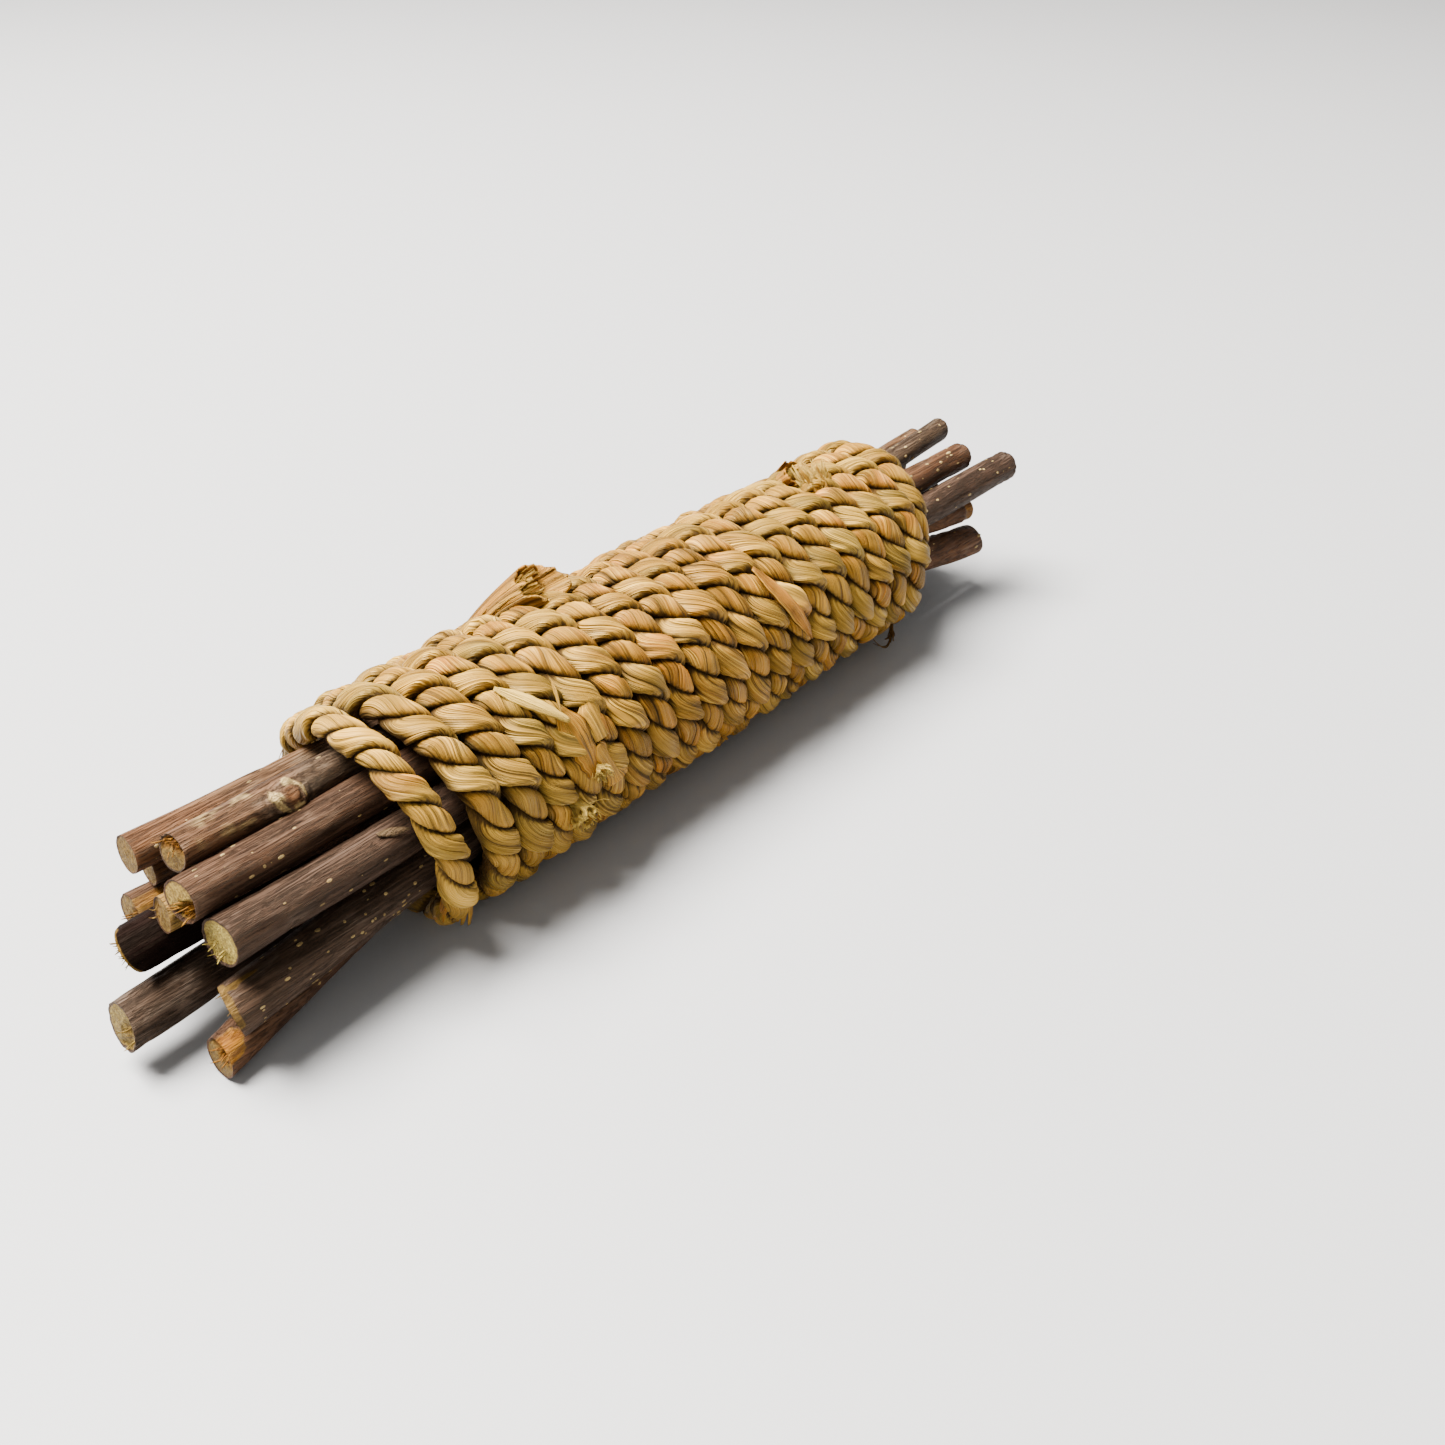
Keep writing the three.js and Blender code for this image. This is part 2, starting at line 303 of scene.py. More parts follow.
# %% Floor
FLOOR_HALF, FLOOR_GREY = 4, (0.312, 0.312, 0.315, 1)
floor_mesh = bpy.data.meshes.new("floor")
floor_corners = [(-FLOOR_HALF, -FLOOR_HALF, 0), (FLOOR_HALF, -FLOOR_HALF, 0)]
floor_corners += [(FLOOR_HALF, FLOOR_HALF, 0), (-FLOOR_HALF, FLOOR_HALF, 0)]
floor_mesh.from_pydata(floor_corners, [], [(0, 1, 2, 3)])
floor = bpy.data.objects.new("floor", floor_mesh)
bpy.context.collection.objects.link(floor)
floor_material, tone, output = new_material("pale_floor")
paper = tone.node("ShaderNodeBsdfPrincipled", {}, {"Base Color": FLOOR_GREY, "Roughness": 0.6})
tone.tree.links.new(paper.socket, output.inputs["Surface"])
floor_mesh.materials.append(floor_material)
print("floor", 2 * FLOOR_HALF, "m wide")

# %% [markdown]
# ## The light
# The light is what a bright room gives: a wide soft lamp above and towards the far side, so that the near
# side of the winding falls into shade, a much weaker one from the camera's side to show the cut ends, and a
# pale sky all round. Square lamps were chosen over a sun, because a lamp's size is what makes the edge of
# a shadow soft.

# %% Lamps and sky
BUNDLE_MIDDLE = Vector((0, 0, 0.016))
SKY_COLOUR, SKY_STRENGTH = (0.97, 0.97, 0.97, 1), 0.47


def add_lamp(name, place, size, power, colour):
    """A square soft lamp that faces the middle of the bundle."""
    data = bpy.data.lights.new(name, "AREA")
    data.size = size
    data.energy = power
    data.color = colour
    lamp = bpy.data.objects.new(name, data)
    lamp.location = place
    lamp.rotation_euler = (BUNDLE_MIDDLE - Vector(place)).to_track_quat("-Z", "Y").to_euler()
    bpy.context.collection.objects.link(lamp)


add_lamp("top_lamp", place=(-0.20, 0.42, 1.03), size=0.72, power=144.0, colour=(1.0, 0.97, 0.93))
add_lamp("side_lamp", place=(-0.60, -0.30, 0.30), size=0.5, power=1.4, colour=(1.0, 0.97, 0.92))
sky = bpy.data.worlds.new("sky")
bpy.context.scene.world = sky
sky.use_nodes = True
sky.node_tree.nodes["Background"].inputs["Color"].default_value = SKY_COLOUR
sky.node_tree.nodes["Background"].inputs["Strength"].default_value = SKY_STRENGTH
print("two lamps and a sky")

# %% [markdown]
# ## The rope's finish
# Seagrass is a dried flat leaf. Each strand is a handful of such leaves laid together, so the finish
# follows the leaves: each one has its own tone, from greenish straw to orange, and fine lines run along it.
# Fine pale lines are painted highlights, and painted shade darkens the folds, the leaf edges and the
# hollows.
# The map of a strand counts leaves round it and centimetres along it, so a whole number in its first part
# is the edge of a leaf. A picture of straw would repeat on every turn; noise on this map doesn't. Marks on
# the mesh say where it is olive, amber or bleached, and how much shade is painted on it.

# %% Seagrass material
LEAVES = 4
STRAW = [
    (0.24, (0.066, 0.035, 0.004)),
    (0.38, (0.140, 0.073, 0.008)),
    (0.50, (0.360, 0.174, 0.016)),
    (0.62, (0.265, 0.109, 0.008)),
    (0.78, (0.195, 0.061, 0.003)),
]
OLIVE, BLEACHED, PAPERY = (0.215, 0.140, 0.022), (0.68, 0.395, 0.060), (0.86, 0.57, 0.120)
OLD_DARK, OLD_LIGHT = (0.18, 0.056, 0.005), (0.48, 0.172, 0.018)
STREAK, PAINTED_HIGHLIGHT_LINE = (0.125, 0.050, 0.003), (0.86, 0.52, 0.080)
# dark browns for painted shade in fold creases, along leaf edges and in hollows
FOLD_SHADE_BROWN, PAINTED_SHADE_BROWN = (0.036, 0.012, 0.001), (0.024, 0.0066, 0.0005)
LEAF_SHEEN, LEAF_RELIEF = (1.0, 0.72, 0.24, 1), 0.0009


def make_seagrass(name):
    """Leaf tones by chance, lines along the leaf, painted highlight lines, painted shade at leaf edges,
    in folds and hollows, and a satin face.
    """
    material, tone, output = new_material(name)
    place = tone.node("ShaderNodeUVMap", {"uv_map": "along"})
    across = tone.node("ShaderNodeSeparateXYZ", {}, {0: place})
    along = tone.node("ShaderNodeSeparateXYZ", {}, {0: place}, out=1)
    leaf = tone.maths("FLOOR", tone.maths("FLOORED_MODULO", across, float(LEAVES)))
    inside = tone.maths("FRACT", across)

    def at(x, y):
        return tone.node("ShaderNodeCombineXYZ", {}, {0: x, 1: y})

    shade = at(leaf * 7.31, along * 0.75).noise(1.0)
    patch = at(leaf * 3.7 + inside * 0.6, along * 1.6).noise(3.0, 0.6)
    lines = at(leaf * 5.0 + inside * 16.0, along * 0.07).noise(1.0, 0.6)
    folds = at(leaf * 9.0 + inside * 4.6, along * 0.10 + 5.0).noise(2.0, 0.6)
    fine = at(leaf * 5.0 + inside * 40.0, along * 0.15).noise(1.0)
    ramp = tone.node("ShaderNodeValToRGB", {"stops": STRAW}, {0: shade * 1.15 + patch * 0.35 - 0.25})
    # leaf edges: a groove in the bump that also gets painted shade
    edge = tone.maths("ABSOLUTE", inside - 0.5).between(0.42, 0.5)
    streak = lines.between(0.56, 0.70)
    # fold creases: thin grooves in the bump that also get painted shade
    crease = 1 - tone.maths("ABSOLUTE", folds - 0.48).between(0.0, 0.036)
    crease = crease * at(leaf * 2.3 + inside * 2.6, along * 1.4 + 9.0).noise(1.0).between(0.42, 0.64)
    hollow, amber, bleach = tone.mark("hollow"), tone.mark("amber"), tone.mark("bleach")
    colour = (tone.mark("olive") * 0.6).mix(ramp, OLIVE)
    colour = (bleach * 0.7).mix(colour, BLEACHED)
    colour = bleach.between(1.0, 1.2).mix(colour, PAPERY)
    old = patch.between(0.32, 0.58).mix(OLD_DARK, OLD_LIGHT)
    colour = (amber * 0.85).mix(colour, old)
    colour = (streak * 0.42).mix(colour, STREAK)
    # painted highlight: fine pale lines along the leaves, over small ridges of the bump
    colour = (fine.between(0.5, 0.72) * 0.45).mix(colour, PAINTED_HIGHLIGHT_LINE)
    # painted shade in the fold creases
    colour = (crease * 0.9).mix(colour, FOLD_SHADE_BROWN)
    # painted shade along the leaf edges and where the mesh's shade mark is high
    colour = (edge * 0.35).mix(colour, PAINTED_SHADE_BROWN)
    colour = hollow.between(0.05, 0.92).mix(colour, PAINTED_SHADE_BROWN)
    height = lines * 0.8 + fine * 0.35 - edge * 0.4 - crease * 0.25
    roughness = 0.36 + patch * 0.18 + hollow * 0.3
    fixed = {"Specular IOR Level": 0.55, "Specular Tint": LEAF_SHEEN}
    finish_material(tone, output, colour, roughness, height, LEAF_RELIEF, fixed)
    return material


seagrass = make_seagrass("seagrass")
print("seagrass has", len(seagrass.node_tree.nodes), "nodes")

# %% [markdown]
# ## The path of the rope
# The rope is one long helix with a lean that changes from the front to the back, a loose thin start and a
# tucked end. A Screw modifier gives an even helix only, so the path is a sum of what each turn does. The
# same sums made the solids, so the strands land on them. Small wanderings make it look wound by hand.

# %% Path and frame of the rope
TURN_RADIUS, TURN_PITCH, TURNS = 14.1, 5.22, 20.65
FIRST_TURN_X, WRAP_TAPER = -52.5, 0.9
FRONT_LEAN, BACK_LEAN = 0.12, -0.06
LOOSE_STEP, LOOSE_RADIUS, LOOSE_THIN, LOOSE_TURNS = 2.0, 0.5, 0.24, 1.5
END_TURNS, END_THIN, END_PULL, END_SINK = 0.45, 0.5, 2.2, 1.0
START_TURNS, START_BACK, START_SINK = 0.4, 1.6, 0.7
FRONT_GAP = 1.7
RADIUS_WANDER, PITCH_WANDER = 0.16, 0.2
TWIST_LENGTH = 8.7
TURN_LENGTH = np.hypot(2 * np.pi * TURN_RADIUS, TURN_PITCH)


def slack_at(turn):
    """How loose the winding is: it falls off from the first turn."""
    return np.exp(-turn / LOOSE_TURNS)


def ending_at(turn):
    """How far the tucked end has begun, from 0 to 1."""
    return ease(turn, TURNS - END_TURNS, TURNS)


def turn_point(turn):
    """Helix: the angle grows with the turns, X by the pitch less the lean times the height."""
    angle, wound = 2 * np.pi * turn, turn / TURNS
    radius = TURN_RADIUS + WRAP_TAPER * (0.5 - wound) + LOOSE_RADIUS * slack_at(turn)
    start = 1 - ease(turn, 0, START_TURNS)
    radius = radius - END_SINK * ending_at(turn) - START_SINK * start
    radius = radius + RADIUS_WANDER * wander(turn, 0.31, 1)
    height = radius * np.sin(angle)
    lean = (FRONT_LEAN + (BACK_LEAN - FRONT_LEAN) * wound) * height
    shift = LOOSE_STEP * slack_at(turn) + END_PULL * ending_at(turn)
    gap = FRONT_GAP * ease(turn, 0.6, 1.3) * (1 - ease(turn, 1.6, 5)) * (1 - np.cos(angle)) / 2
    shift = shift - START_BACK * start - gap
    x = FIRST_TURN_X + TURN_PITCH * turn - shift - lean + PITCH_WANDER * wander(turn, 0.23, 2)
    return np.stack([x, radius * np.cos(angle), height], -1)


def fullness_at(turn):
    """The rope's thickness as a share of its full one."""
    return (1 - LOOSE_THIN * slack_at(turn)) * (1 - END_THIN * ending_at(turn))


def rope_axes(path):
    """Along, outward and across directions at each point of a path, and the length up to it."""
    ahead = np.gradient(path, axis=0)
    ahead /= np.linalg.norm(ahead, axis=1, keepdims=True)
    outward = path * (0, 1, 1)
    outward -= (outward * ahead).sum(1, keepdims=True) * ahead
    outward /= np.linalg.norm(outward, axis=1, keepdims=True)
    across = np.cross(ahead, outward)
    length = np.r_[0, np.cumsum(np.linalg.norm(np.diff(path, axis=0), axis=1))]
    return ahead, outward, across, length


print("one turn is", round(TURN_LENGTH, 1), "mm of rope")

# %% [markdown]
# ## The strands
# Two strands go round each other to the left. Pressed together, each is a half moon in a section of the
# rope: a round crown and a straight back. One strand is laid over the other: it is fuller, and one lip
# stands proud of the strand under it, which lies straighter and sinks at its sides. The leaves hardly turn,
# so the points of each ring stay with the leaves while the half moon turns under them. That lets every
# furrow run along a row of points: it comes out from under a lip, crosses the crown and goes under the next.

# %% A strand's section
STRAND_REACH = 2.76
CROWN_ANGLE = np.radians(122)
OVER = dict(share=1.06, groove=0.32, span=np.radians(103), lip=0.13, turning=0.72, shade=0.87, amber=0.0)
UNDER = dict(share=0.93, groove=0.46, span=np.radians(80), lip=0.0, turning=1.2, shade=0.60, amber=0.2)


def half_moon(angle, groove, span, lip):
    """Reach falls with the angle's fourth power from the crown to the lips, one of which may stand
    proud; then a straight back."""
    angle = (angle + np.pi) % (2 * np.pi) - np.pi
    crown = np.clip(np.abs(angle) / CROWN_ANGLE, 0, 1)
    back = np.clip((np.abs(angle) - CROWN_ANGLE) / (np.pi - CROWN_ANGLE), 0, 1)
    proud = (angle > 0) * ease(crown, 0.3, 0.75) * (1 - ease(crown, 0.86, 1.0))
    reach = 1 - groove * crown**4 + lip * proud
    turned = np.sign(angle) * crown * span
    return reach * np.cos(turned) - 0.05 * back, reach * np.sin(turned) * (1 - back), crown


def ridges(turn, sharp):
    """Rounded ridges with sharp furrows, one for each whole turn: 1 on top and 0 in the furrow."""
    return np.abs(np.cos(np.pi * turn)) ** sharp


print("the strand on top is", round(OVER["share"] / UNDER["share"], 2), "times as full as the other")

# %% [markdown]
# A strand's ring is the half moon times the relief of its leaves: furrows between leaves, finer pleats in
# them, and one edge of a leaf lying a little over the next. Painted shade is a mark that darkens the colour
# towards the sticks, under the lips and in the furrows, and more so in the middle of the winding, where
# the photograph has darker lines.

# %% One strand as a surface
STRAND_POINTS = 52
FURROW_DEPTH, PLEAT_DEPTH, FLAP_RISE = 0.10, 0.06, 0.05
TIP_LENGTH = 4
# painted shade in the furrows is strongest round this turn, over about this many turns
DARKEST_SHADE_TURN, DARKEST_SHADE_TURNS = 9, 4.5


def strand(path, full, first_twist, which, seed, ends, length_before, tint):
    """Each ring is the half moon times the leaves' ridges, turned by the twist about the rope's middle."""
    ahead, outward, across, length = rope_axes(path)
    kind = (OVER, UNDER)[which]
    s = length + length_before
    even = first_twist - 2 * np.pi * length / TWIST_LENGTH + 0.8 * wander(s, 12, 51)
    twist = even + (0.34 + 0.22 * wander(s, 30, 52)) * np.sin(even) + np.pi * which
    side = np.cos(twist)[:, None] * outward + np.sin(twist)[:, None] * across
    wide = np.cross(ahead, side)
    s2, spot = s[:, None], np.linspace(0, 2 * np.pi, STRAND_POINTS + 1)[None, :]
    angle = spot - kind["turning"] * even[:, None] + 0.5 * wander(s2, 19, seed + 1) + s2 / 22
    warped = spot + 0.42 * np.sin(spot + 1.5 * wander(s2, 17, seed + 2))
    leaf = (warped + 0.2 * np.sin(2 * spot + 1.5 * wander(s2, 13, seed + 3))) * LEAVES / (2 * np.pi)
    deep = np.clip(0.5 + 0.9 * ripple(spot / (2 * np.pi), s2, 4, 8, seed + 4), 0.05, 1.3)
    pleated = np.clip(0.5 + 0.9 * ripple(spot / (2 * np.pi), s2, 5, 6, seed + 5), 0, 1.2)
    furrow = 1 - ridges(leaf + 0.5, 0.55)
    pleat = 1 - ridges(leaf * 3 + 0.5 * wander(s2, 11, seed + 6), 0.6)
    flap = 0.5 - (leaf - np.floor(leaf))
    shape = 1 - FURROW_DEPTH * deep * furrow - PLEAT_DEPTH * pleated * pleat + FLAP_RISE * flap * deep
    plump = kind["share"] + 0.08 * wander(s, 5, seed + 7) + 0.05 * wander(s, 2.6, seed + 8)
    rest = length[-1] - length
    tip = np.minimum(1, np.minimum(ends[0] + length / TIP_LENGTH, ends[1] + rest / TIP_LENGTH))
    size = (STRAND_REACH * full * plump * tip)[:, None] * shape
    deep_part, wide_part, crown = half_moon(angle, kind["groove"], kind["span"], kind["lip"])
    grid = path[:, None] + (size * deep_part)[..., None] * side[:, None]
    grid = grid + (size * wide_part)[..., None] * wide[:, None]
    lift = ((grid - path[:, None]) * outward[:, None]).sum(-1)
    pressed = 1 - 0.85 * slack_at(s2 / TURN_LENGTH)
    # painted shade: darker on the rope's sides towards the sticks, under the lips, in furrows and pleats
    hollow = 1.1 * pressed * ease(-lift, -1.85, 0.45) + ease(crown, kind["shade"], 1.01)
    shade_gain = 0.5 + 0.7 * np.exp(-(((s2 / TURN_LENGTH - DARKEST_SHADE_TURN) / DARKEST_SHADE_TURNS) ** 2))
    hollow = hollow + shade_gain * (deep * furrow**1.5 + 0.5 * pleated * pleat**1.5)
    uv = np.stack([leaf, np.broadcast_to(s2 / 10 + 37 * (seed % 50), leaf.shape)], -1)
    marks = {mark: np.broadcast_to(value[:, None], hollow.shape) for mark, value in tint.items()}
    marks["hollow"] = np.clip(hollow, 0, 1)
    return tube(grid, uv, marks)


print("a strand has", STRAND_POINTS, "points round it")

# %% [markdown]
# ## Winding the rope
# Three lengths of rope follow each other round the sticks. Some bends have their own colour: the loose front
# turns are bleached, a few bends are amber where an old leaf was laid in, and the middle turns are a little
# more mellow. Each is a soft bump along the count of turns, which is simpler to place than a painted mask.
# The long middle length is one piece for each strand, so that no piece grows too heavy.

# %% Wind the three lengths of rope
FRONT_START, FRONT_END, MIDDLE_START, MIDDLE_END, BACK_START = 0.07, 4.53, 4.56, 17.22, 17.25
AMBER = {0: (6.16, 12.29, 13.45, 18.30), 1: (5.42, 8.42, 12.41, 16.38, 17.20, 19.33)}
AMBER_WIDTH = 0.022
MELLOW_TURN, MELLOW_TURNS, BLEACHED_TURNS = 9.5, 3.5, 1.6
FRONT_STEP, MIDDLE_STEP, BACK_STEP = 0.45, 0.64, 0.46


def wound_rope(first, last, step, seed, ends):
    """Both strands of the rope between two counts of turns."""
    count = int((last - first) * TURN_LENGTH / step)
    turn = np.linspace(first, last, count)
    twist = -2 * np.pi * first * TURN_LENGTH / TWIST_LENGTH
    skins = []
    for which in (0, 1):
        old = sum(np.exp(-(((turn - middle) / AMBER_WIDTH) ** 2)) for middle in AMBER[which])
        old = old + 0.7 * ease(wander(turn, 0.09, seed + which), 0.72, 0.95) + (OVER, UNDER)[which]["amber"]
        old = old + 0.30 * np.exp(-(((turn - MELLOW_TURN) / MELLOW_TURNS) ** 2))
        pale = 0.7 * ease(wander(turn, 0.08, seed + 9 + which), 0.5, 0.9)
        pale = pale + (0.45, 1.0)[which] * np.exp(-turn / BLEACHED_TURNS)
        green = np.full(count, 1.0 - which) * (0.7 + 0.3 * wander(turn, 0.1, seed + 12))
        tint = {"amber": np.clip(old, 0, 1), "bleach": np.clip(pale, 0, 1), "olive": green}
        path, full, before = turn_point(turn), fullness_at(turn), first * TURN_LENGTH
        skins.append(strand(path, full, twist, which, seed + 20 * which, ends, before, tint))
    return skins


front = wound_rope(FRONT_START, FRONT_END, FRONT_STEP, 100, (0.7, 0.75))
make_piece("front_rope_strands", front, seagrass, "front_rope")
middle = wound_rope(MIDDLE_START, MIDDLE_END, MIDDLE_STEP, 200, (0.7, 0.8))
make_piece("middle_rope_strand_a", middle[:1], seagrass, "middle_rope")
make_piece("middle_rope_strand_b", middle[1:], seagrass, "middle_rope")
back = wound_rope(BACK_START, TURNS, BACK_STEP, 300, (0.8, 0.7))
make_piece("back_rope_strands", back, seagrass, "back_rope")

# %% [markdown]
# ## Cut, frayed and loose leaves
# Where a length of rope ends, its leaves come apart: a fan of thin blades, each of its own length, and a
# brush of hairs. Hair curves would be lost in the export, so a blade is a flat closed ring carried along a
# line, and a hair is a narrow blade. A fan is worked out for all its blades at once, with one more
# dimension in the arrays.

# %% Blades and fans
BLADE_POINTS = 8
BLADE_HALF, BLADE_CUP = 0.10, 0.35


def along_path(values, place):
    """Values at broken places of a row: the two neighbours mixed by the rest."""
    low = np.clip(np.floor(place).astype(int), 0, len(values) - 2)
    rest = (place - low)[..., None]
    return values[low] * (1 - rest) + values[low + 1] * rest


def blades(middle, out, side, half, along, chance, **marks):
    """Flat rings: half the width times the sine to the side, half the thickness times the cosine out;
    the sides of a ring are cupped by a share of its half width."""
    spin = np.linspace(0, 2 * np.pi, BLADE_POINTS + 1)
    cup = -BLADE_CUP * half[..., None] * np.sin(spin[:-1]) ** 2
    thin = np.minimum(BLADE_HALF, half)[..., None] * np.cos(spin[:-1])
    grid = middle[:, :, None] + (thin + cup)[..., None] * out[:, :, None]
    grid = grid + (half[..., None] * np.sin(spin[:-1]))[..., None] * side[:, :, None]
    count = len(half)
    leaf = chance.integers(0, 40, (count, 1, 1)) + 0.5 + 0.38 * np.sin(spin)
    lengthwise = along[..., None] / 10 + chance.uniform(0, 30, (count, 1, 1))
    return skin(grid, np.stack(np.broadcast_arrays(leaf, lengthwise), -1), **marks)


def fan(
    path, count, reach, spread, width, seed,
    reaches=(0.6, 1.0), rings=12, taper=0.75, amber=0.3, curl=0.25, marks=None,
):
    """Blades stand round the path; their distance from it grows with the square of the way along it."""
    _, outward, across, length = rope_axes(path)
    chance = np.random.default_rng(seed)
    share = np.linspace(0, 1, rings)[None, :]
    place = chance.uniform(*reaches, (count, 1)) * share * (len(path) - 1)
    turned = 2 * np.pi * (np.arange(count)[:, None] + chance.uniform(-0.4, 0.4, (count, 1))) / count
    turned = turned + chance.normal(0, 0.35, (count, 1)) * share
    far = reach * chance.uniform(0.55, 1.0, (count, 1))
    far = far + spread * share**2 * chance.uniform(0.3, 1.0, (count, 1))
    e_out, e_across = along_path(outward, place), along_path(across, place)
    cos, sin = np.cos(turned)[..., None], np.sin(turned)[..., None]
    out, side = cos * e_out + sin * e_across, cos * e_across - sin * e_out
    wag = chance.normal(0, curl, (count, 1)) * np.sin(share * 5 + chance.uniform(0, 6, (count, 1)))
    middle = along_path(path, place) + far[..., None] * out + (wag * share)[..., None] * side
    half = width * chance.uniform(0.5, 1.0, (count, 1)) * (1 - taper * share**4)
    spin = np.linspace(0, 2 * np.pi, BLADE_POINTS, endpoint=False)
    # painted shade on the inner side of each blade, stronger near its root
    inner = 0.6 * (np.cos(spin) < -0.1) * (1 - 0.5 * share[..., None])
    old = np.clip(amber + chance.normal(0, 0.35, (count, 1, 1)), 0, 1)
    marks = marks or {"hollow": inner, "amber": old, "bleach": 0.5 * share[..., None]}
    return blades(middle, out, side, half, place * length[-1] / (len(path) - 1), chance, **marks)


print("a blade has", BLADE_POINTS, "points in a ring")

# %% [markdown]
# Single leaves that were not twisted in lie loose on the winding: one blade each, along the rope's own
# line, slid a little and lifted at its end. The tail of the middle length is a leaf rolled to a tube.
# Solidify could give it a wall, but its rim would be straight; carried up the outside, over a ragged rim
# and down again inside, one surface has the wall, the rim and the open mouth.

# %% Loose and rolled leaves
LEAF_RINGS = 26
OUTER_RINGS, INNER_RINGS, ROLLED_POINTS = 22, 8, 48


def turns(first, last, lift=0.0, slide=0.0, count=24):
    """A stretch of the rope's line, forwards or backwards, that may rise off the winding or slide in X."""
    path = turn_point(np.linspace(first, last, count))
    share = np.linspace(0, 1, count)[:, None]
    return path + lift * share**2 * rope_axes(path)[1] + slide * share * (1, 0, 0)


def loose_leaf(first, last, slide, lift, width, point, seed, amber, bleach):
    """One leaf on the winding from one count of turns to another, slid along X and lifted at its end."""
    share = np.linspace(0, 1, LEAF_RINGS)
    path = turns(first, last, count=LEAF_RINGS)
    path = path + (STRAND_REACH + lift[0] + (lift[1] - lift[0]) * share**2)[:, None] * rope_axes(path)[1]
    path[:, 0] += slide[0] + (slide[1] - slide[0]) * share
    ahead, outward, across, length = rope_axes(path)
    half = width * np.minimum(1, 0.35 + 3 * share) * (1 - point * share**3)
    half = half * (1 + 0.12 * wander(length, 0.8, seed))
    rolled = np.radians(18) * np.sin(3 * share + seed)
    out = np.cos(rolled)[:, None] * outward + np.sin(rolled)[:, None] * across
    side = np.cross(ahead, out)
    row = [part[None] for part in (path, out, side, half, length)]
    return blades(*row, np.random.default_rng(seed), amber=amber, bleach=bleach)


def rolled_leaf(path, start, rim, seed):
    """A tube: rings go up the outside, over a ragged slanting rim, and back down a wall further in."""
    _, outward, across, length = rope_axes(path)
    share = np.r_[np.linspace(0, 1, OUTER_RINGS), np.linspace(1, 0.5, INNER_RINGS)][:, None]
    inside = np.r_[np.zeros(OUTER_RINGS), np.ones(INNER_RINGS)][:, None]
    spin = np.linspace(0, 2 * np.pi, ROLLED_POINTS + 1)[None, :]
    turn = spin / (2 * np.pi)
    ragged = ripple(turn, share * 0, 13, 1, seed) + 0.7 * ripple(turn, share * 0, 37, 1, seed + 1)
    oblique = 0.20 * np.cos(spin - np.pi / 4)
    place = share * (1 + 0.035 * ragged - oblique) * (len(path) - 1)
    pleat = 1 - ridges(turn * 8 + 0.25 * np.sin(spin + 2 * share), 0.6)
    radius = (start + (rim - start) * share**3) * (1 + 0.16 * np.cos(2 * spin + 0.8)) * (1 - 0.14 * pleat)
    radius = radius - 0.4 * inside
    grid = along_path(path, place) + (radius * np.cos(spin))[..., None] * along_path(outward, place)
    grid = grid + (radius * np.sin(spin))[..., None] * along_path(across, place)
    uv = np.stack(np.broadcast_arrays(turn * 2 * LEAVES, share * length[-1] / 10), -1)
    # painted shade: the inside wall, a little of the outside, and more in its pleats
    hollow = np.clip(0.25 * inside + (0.15 + 0.8 * pleat) * (1 - inside), 0, 1)
    marks = {"hollow": hollow, "amber": 0.6 + 0.3 * np.cos(spin) + 0.3 * inside}
    marks["bleach"] = 0.8 * share**6 + 0 * spin
    return tube(grid, uv, marks)


print("a rolled leaf has", OUTER_RINGS + INNER_RINGS, "rings")

# %% [markdown]
# ## The tail
# The middle length starts with a short tail that stands up between two turns and shows its open cut. Its
# line bends by three points, as a pulled leaf does. Inside the rolled leaf stand tight fans of blades
# and hairs, which fill its mouth better than a painted lid would.

# %% The tail of the middle length
TAIL = np.array([(-24.5, 10.5, 10.0), (-21.0, 9.0, 14.6), (-16.2, 4.6, 17.9)])
share = np.linspace(0, 1, 30)[:, None]
tail_path = (1 - share) ** 2 * TAIL[0] + 2 * share * (1 - share) * TAIL[1] + share**2 * TAIL[2]
tail = [
    rolled_leaf(tail_path, 2.1, 2.9, 531),
    fan(tail_path, 26, 1.9, 0.5, 0.45, 502, (0.80, 1.0), 14, 0.1, amber=0.5, curl=0.4),
    fan(tail_path, 14, 0.9, 0.4, 0.45, 501, (0.80, 1.0), 14, 0.1, amber=0.7, curl=0.4),
    fan(tail_path[16:], 70, 2.3, 0.7, 0.12, 509, (0.6, 1.05), 8, 0.5, amber=0.1, curl=0.6),
]
make_piece("middle_rope_tail", tail, seagrass, "middle_rope")
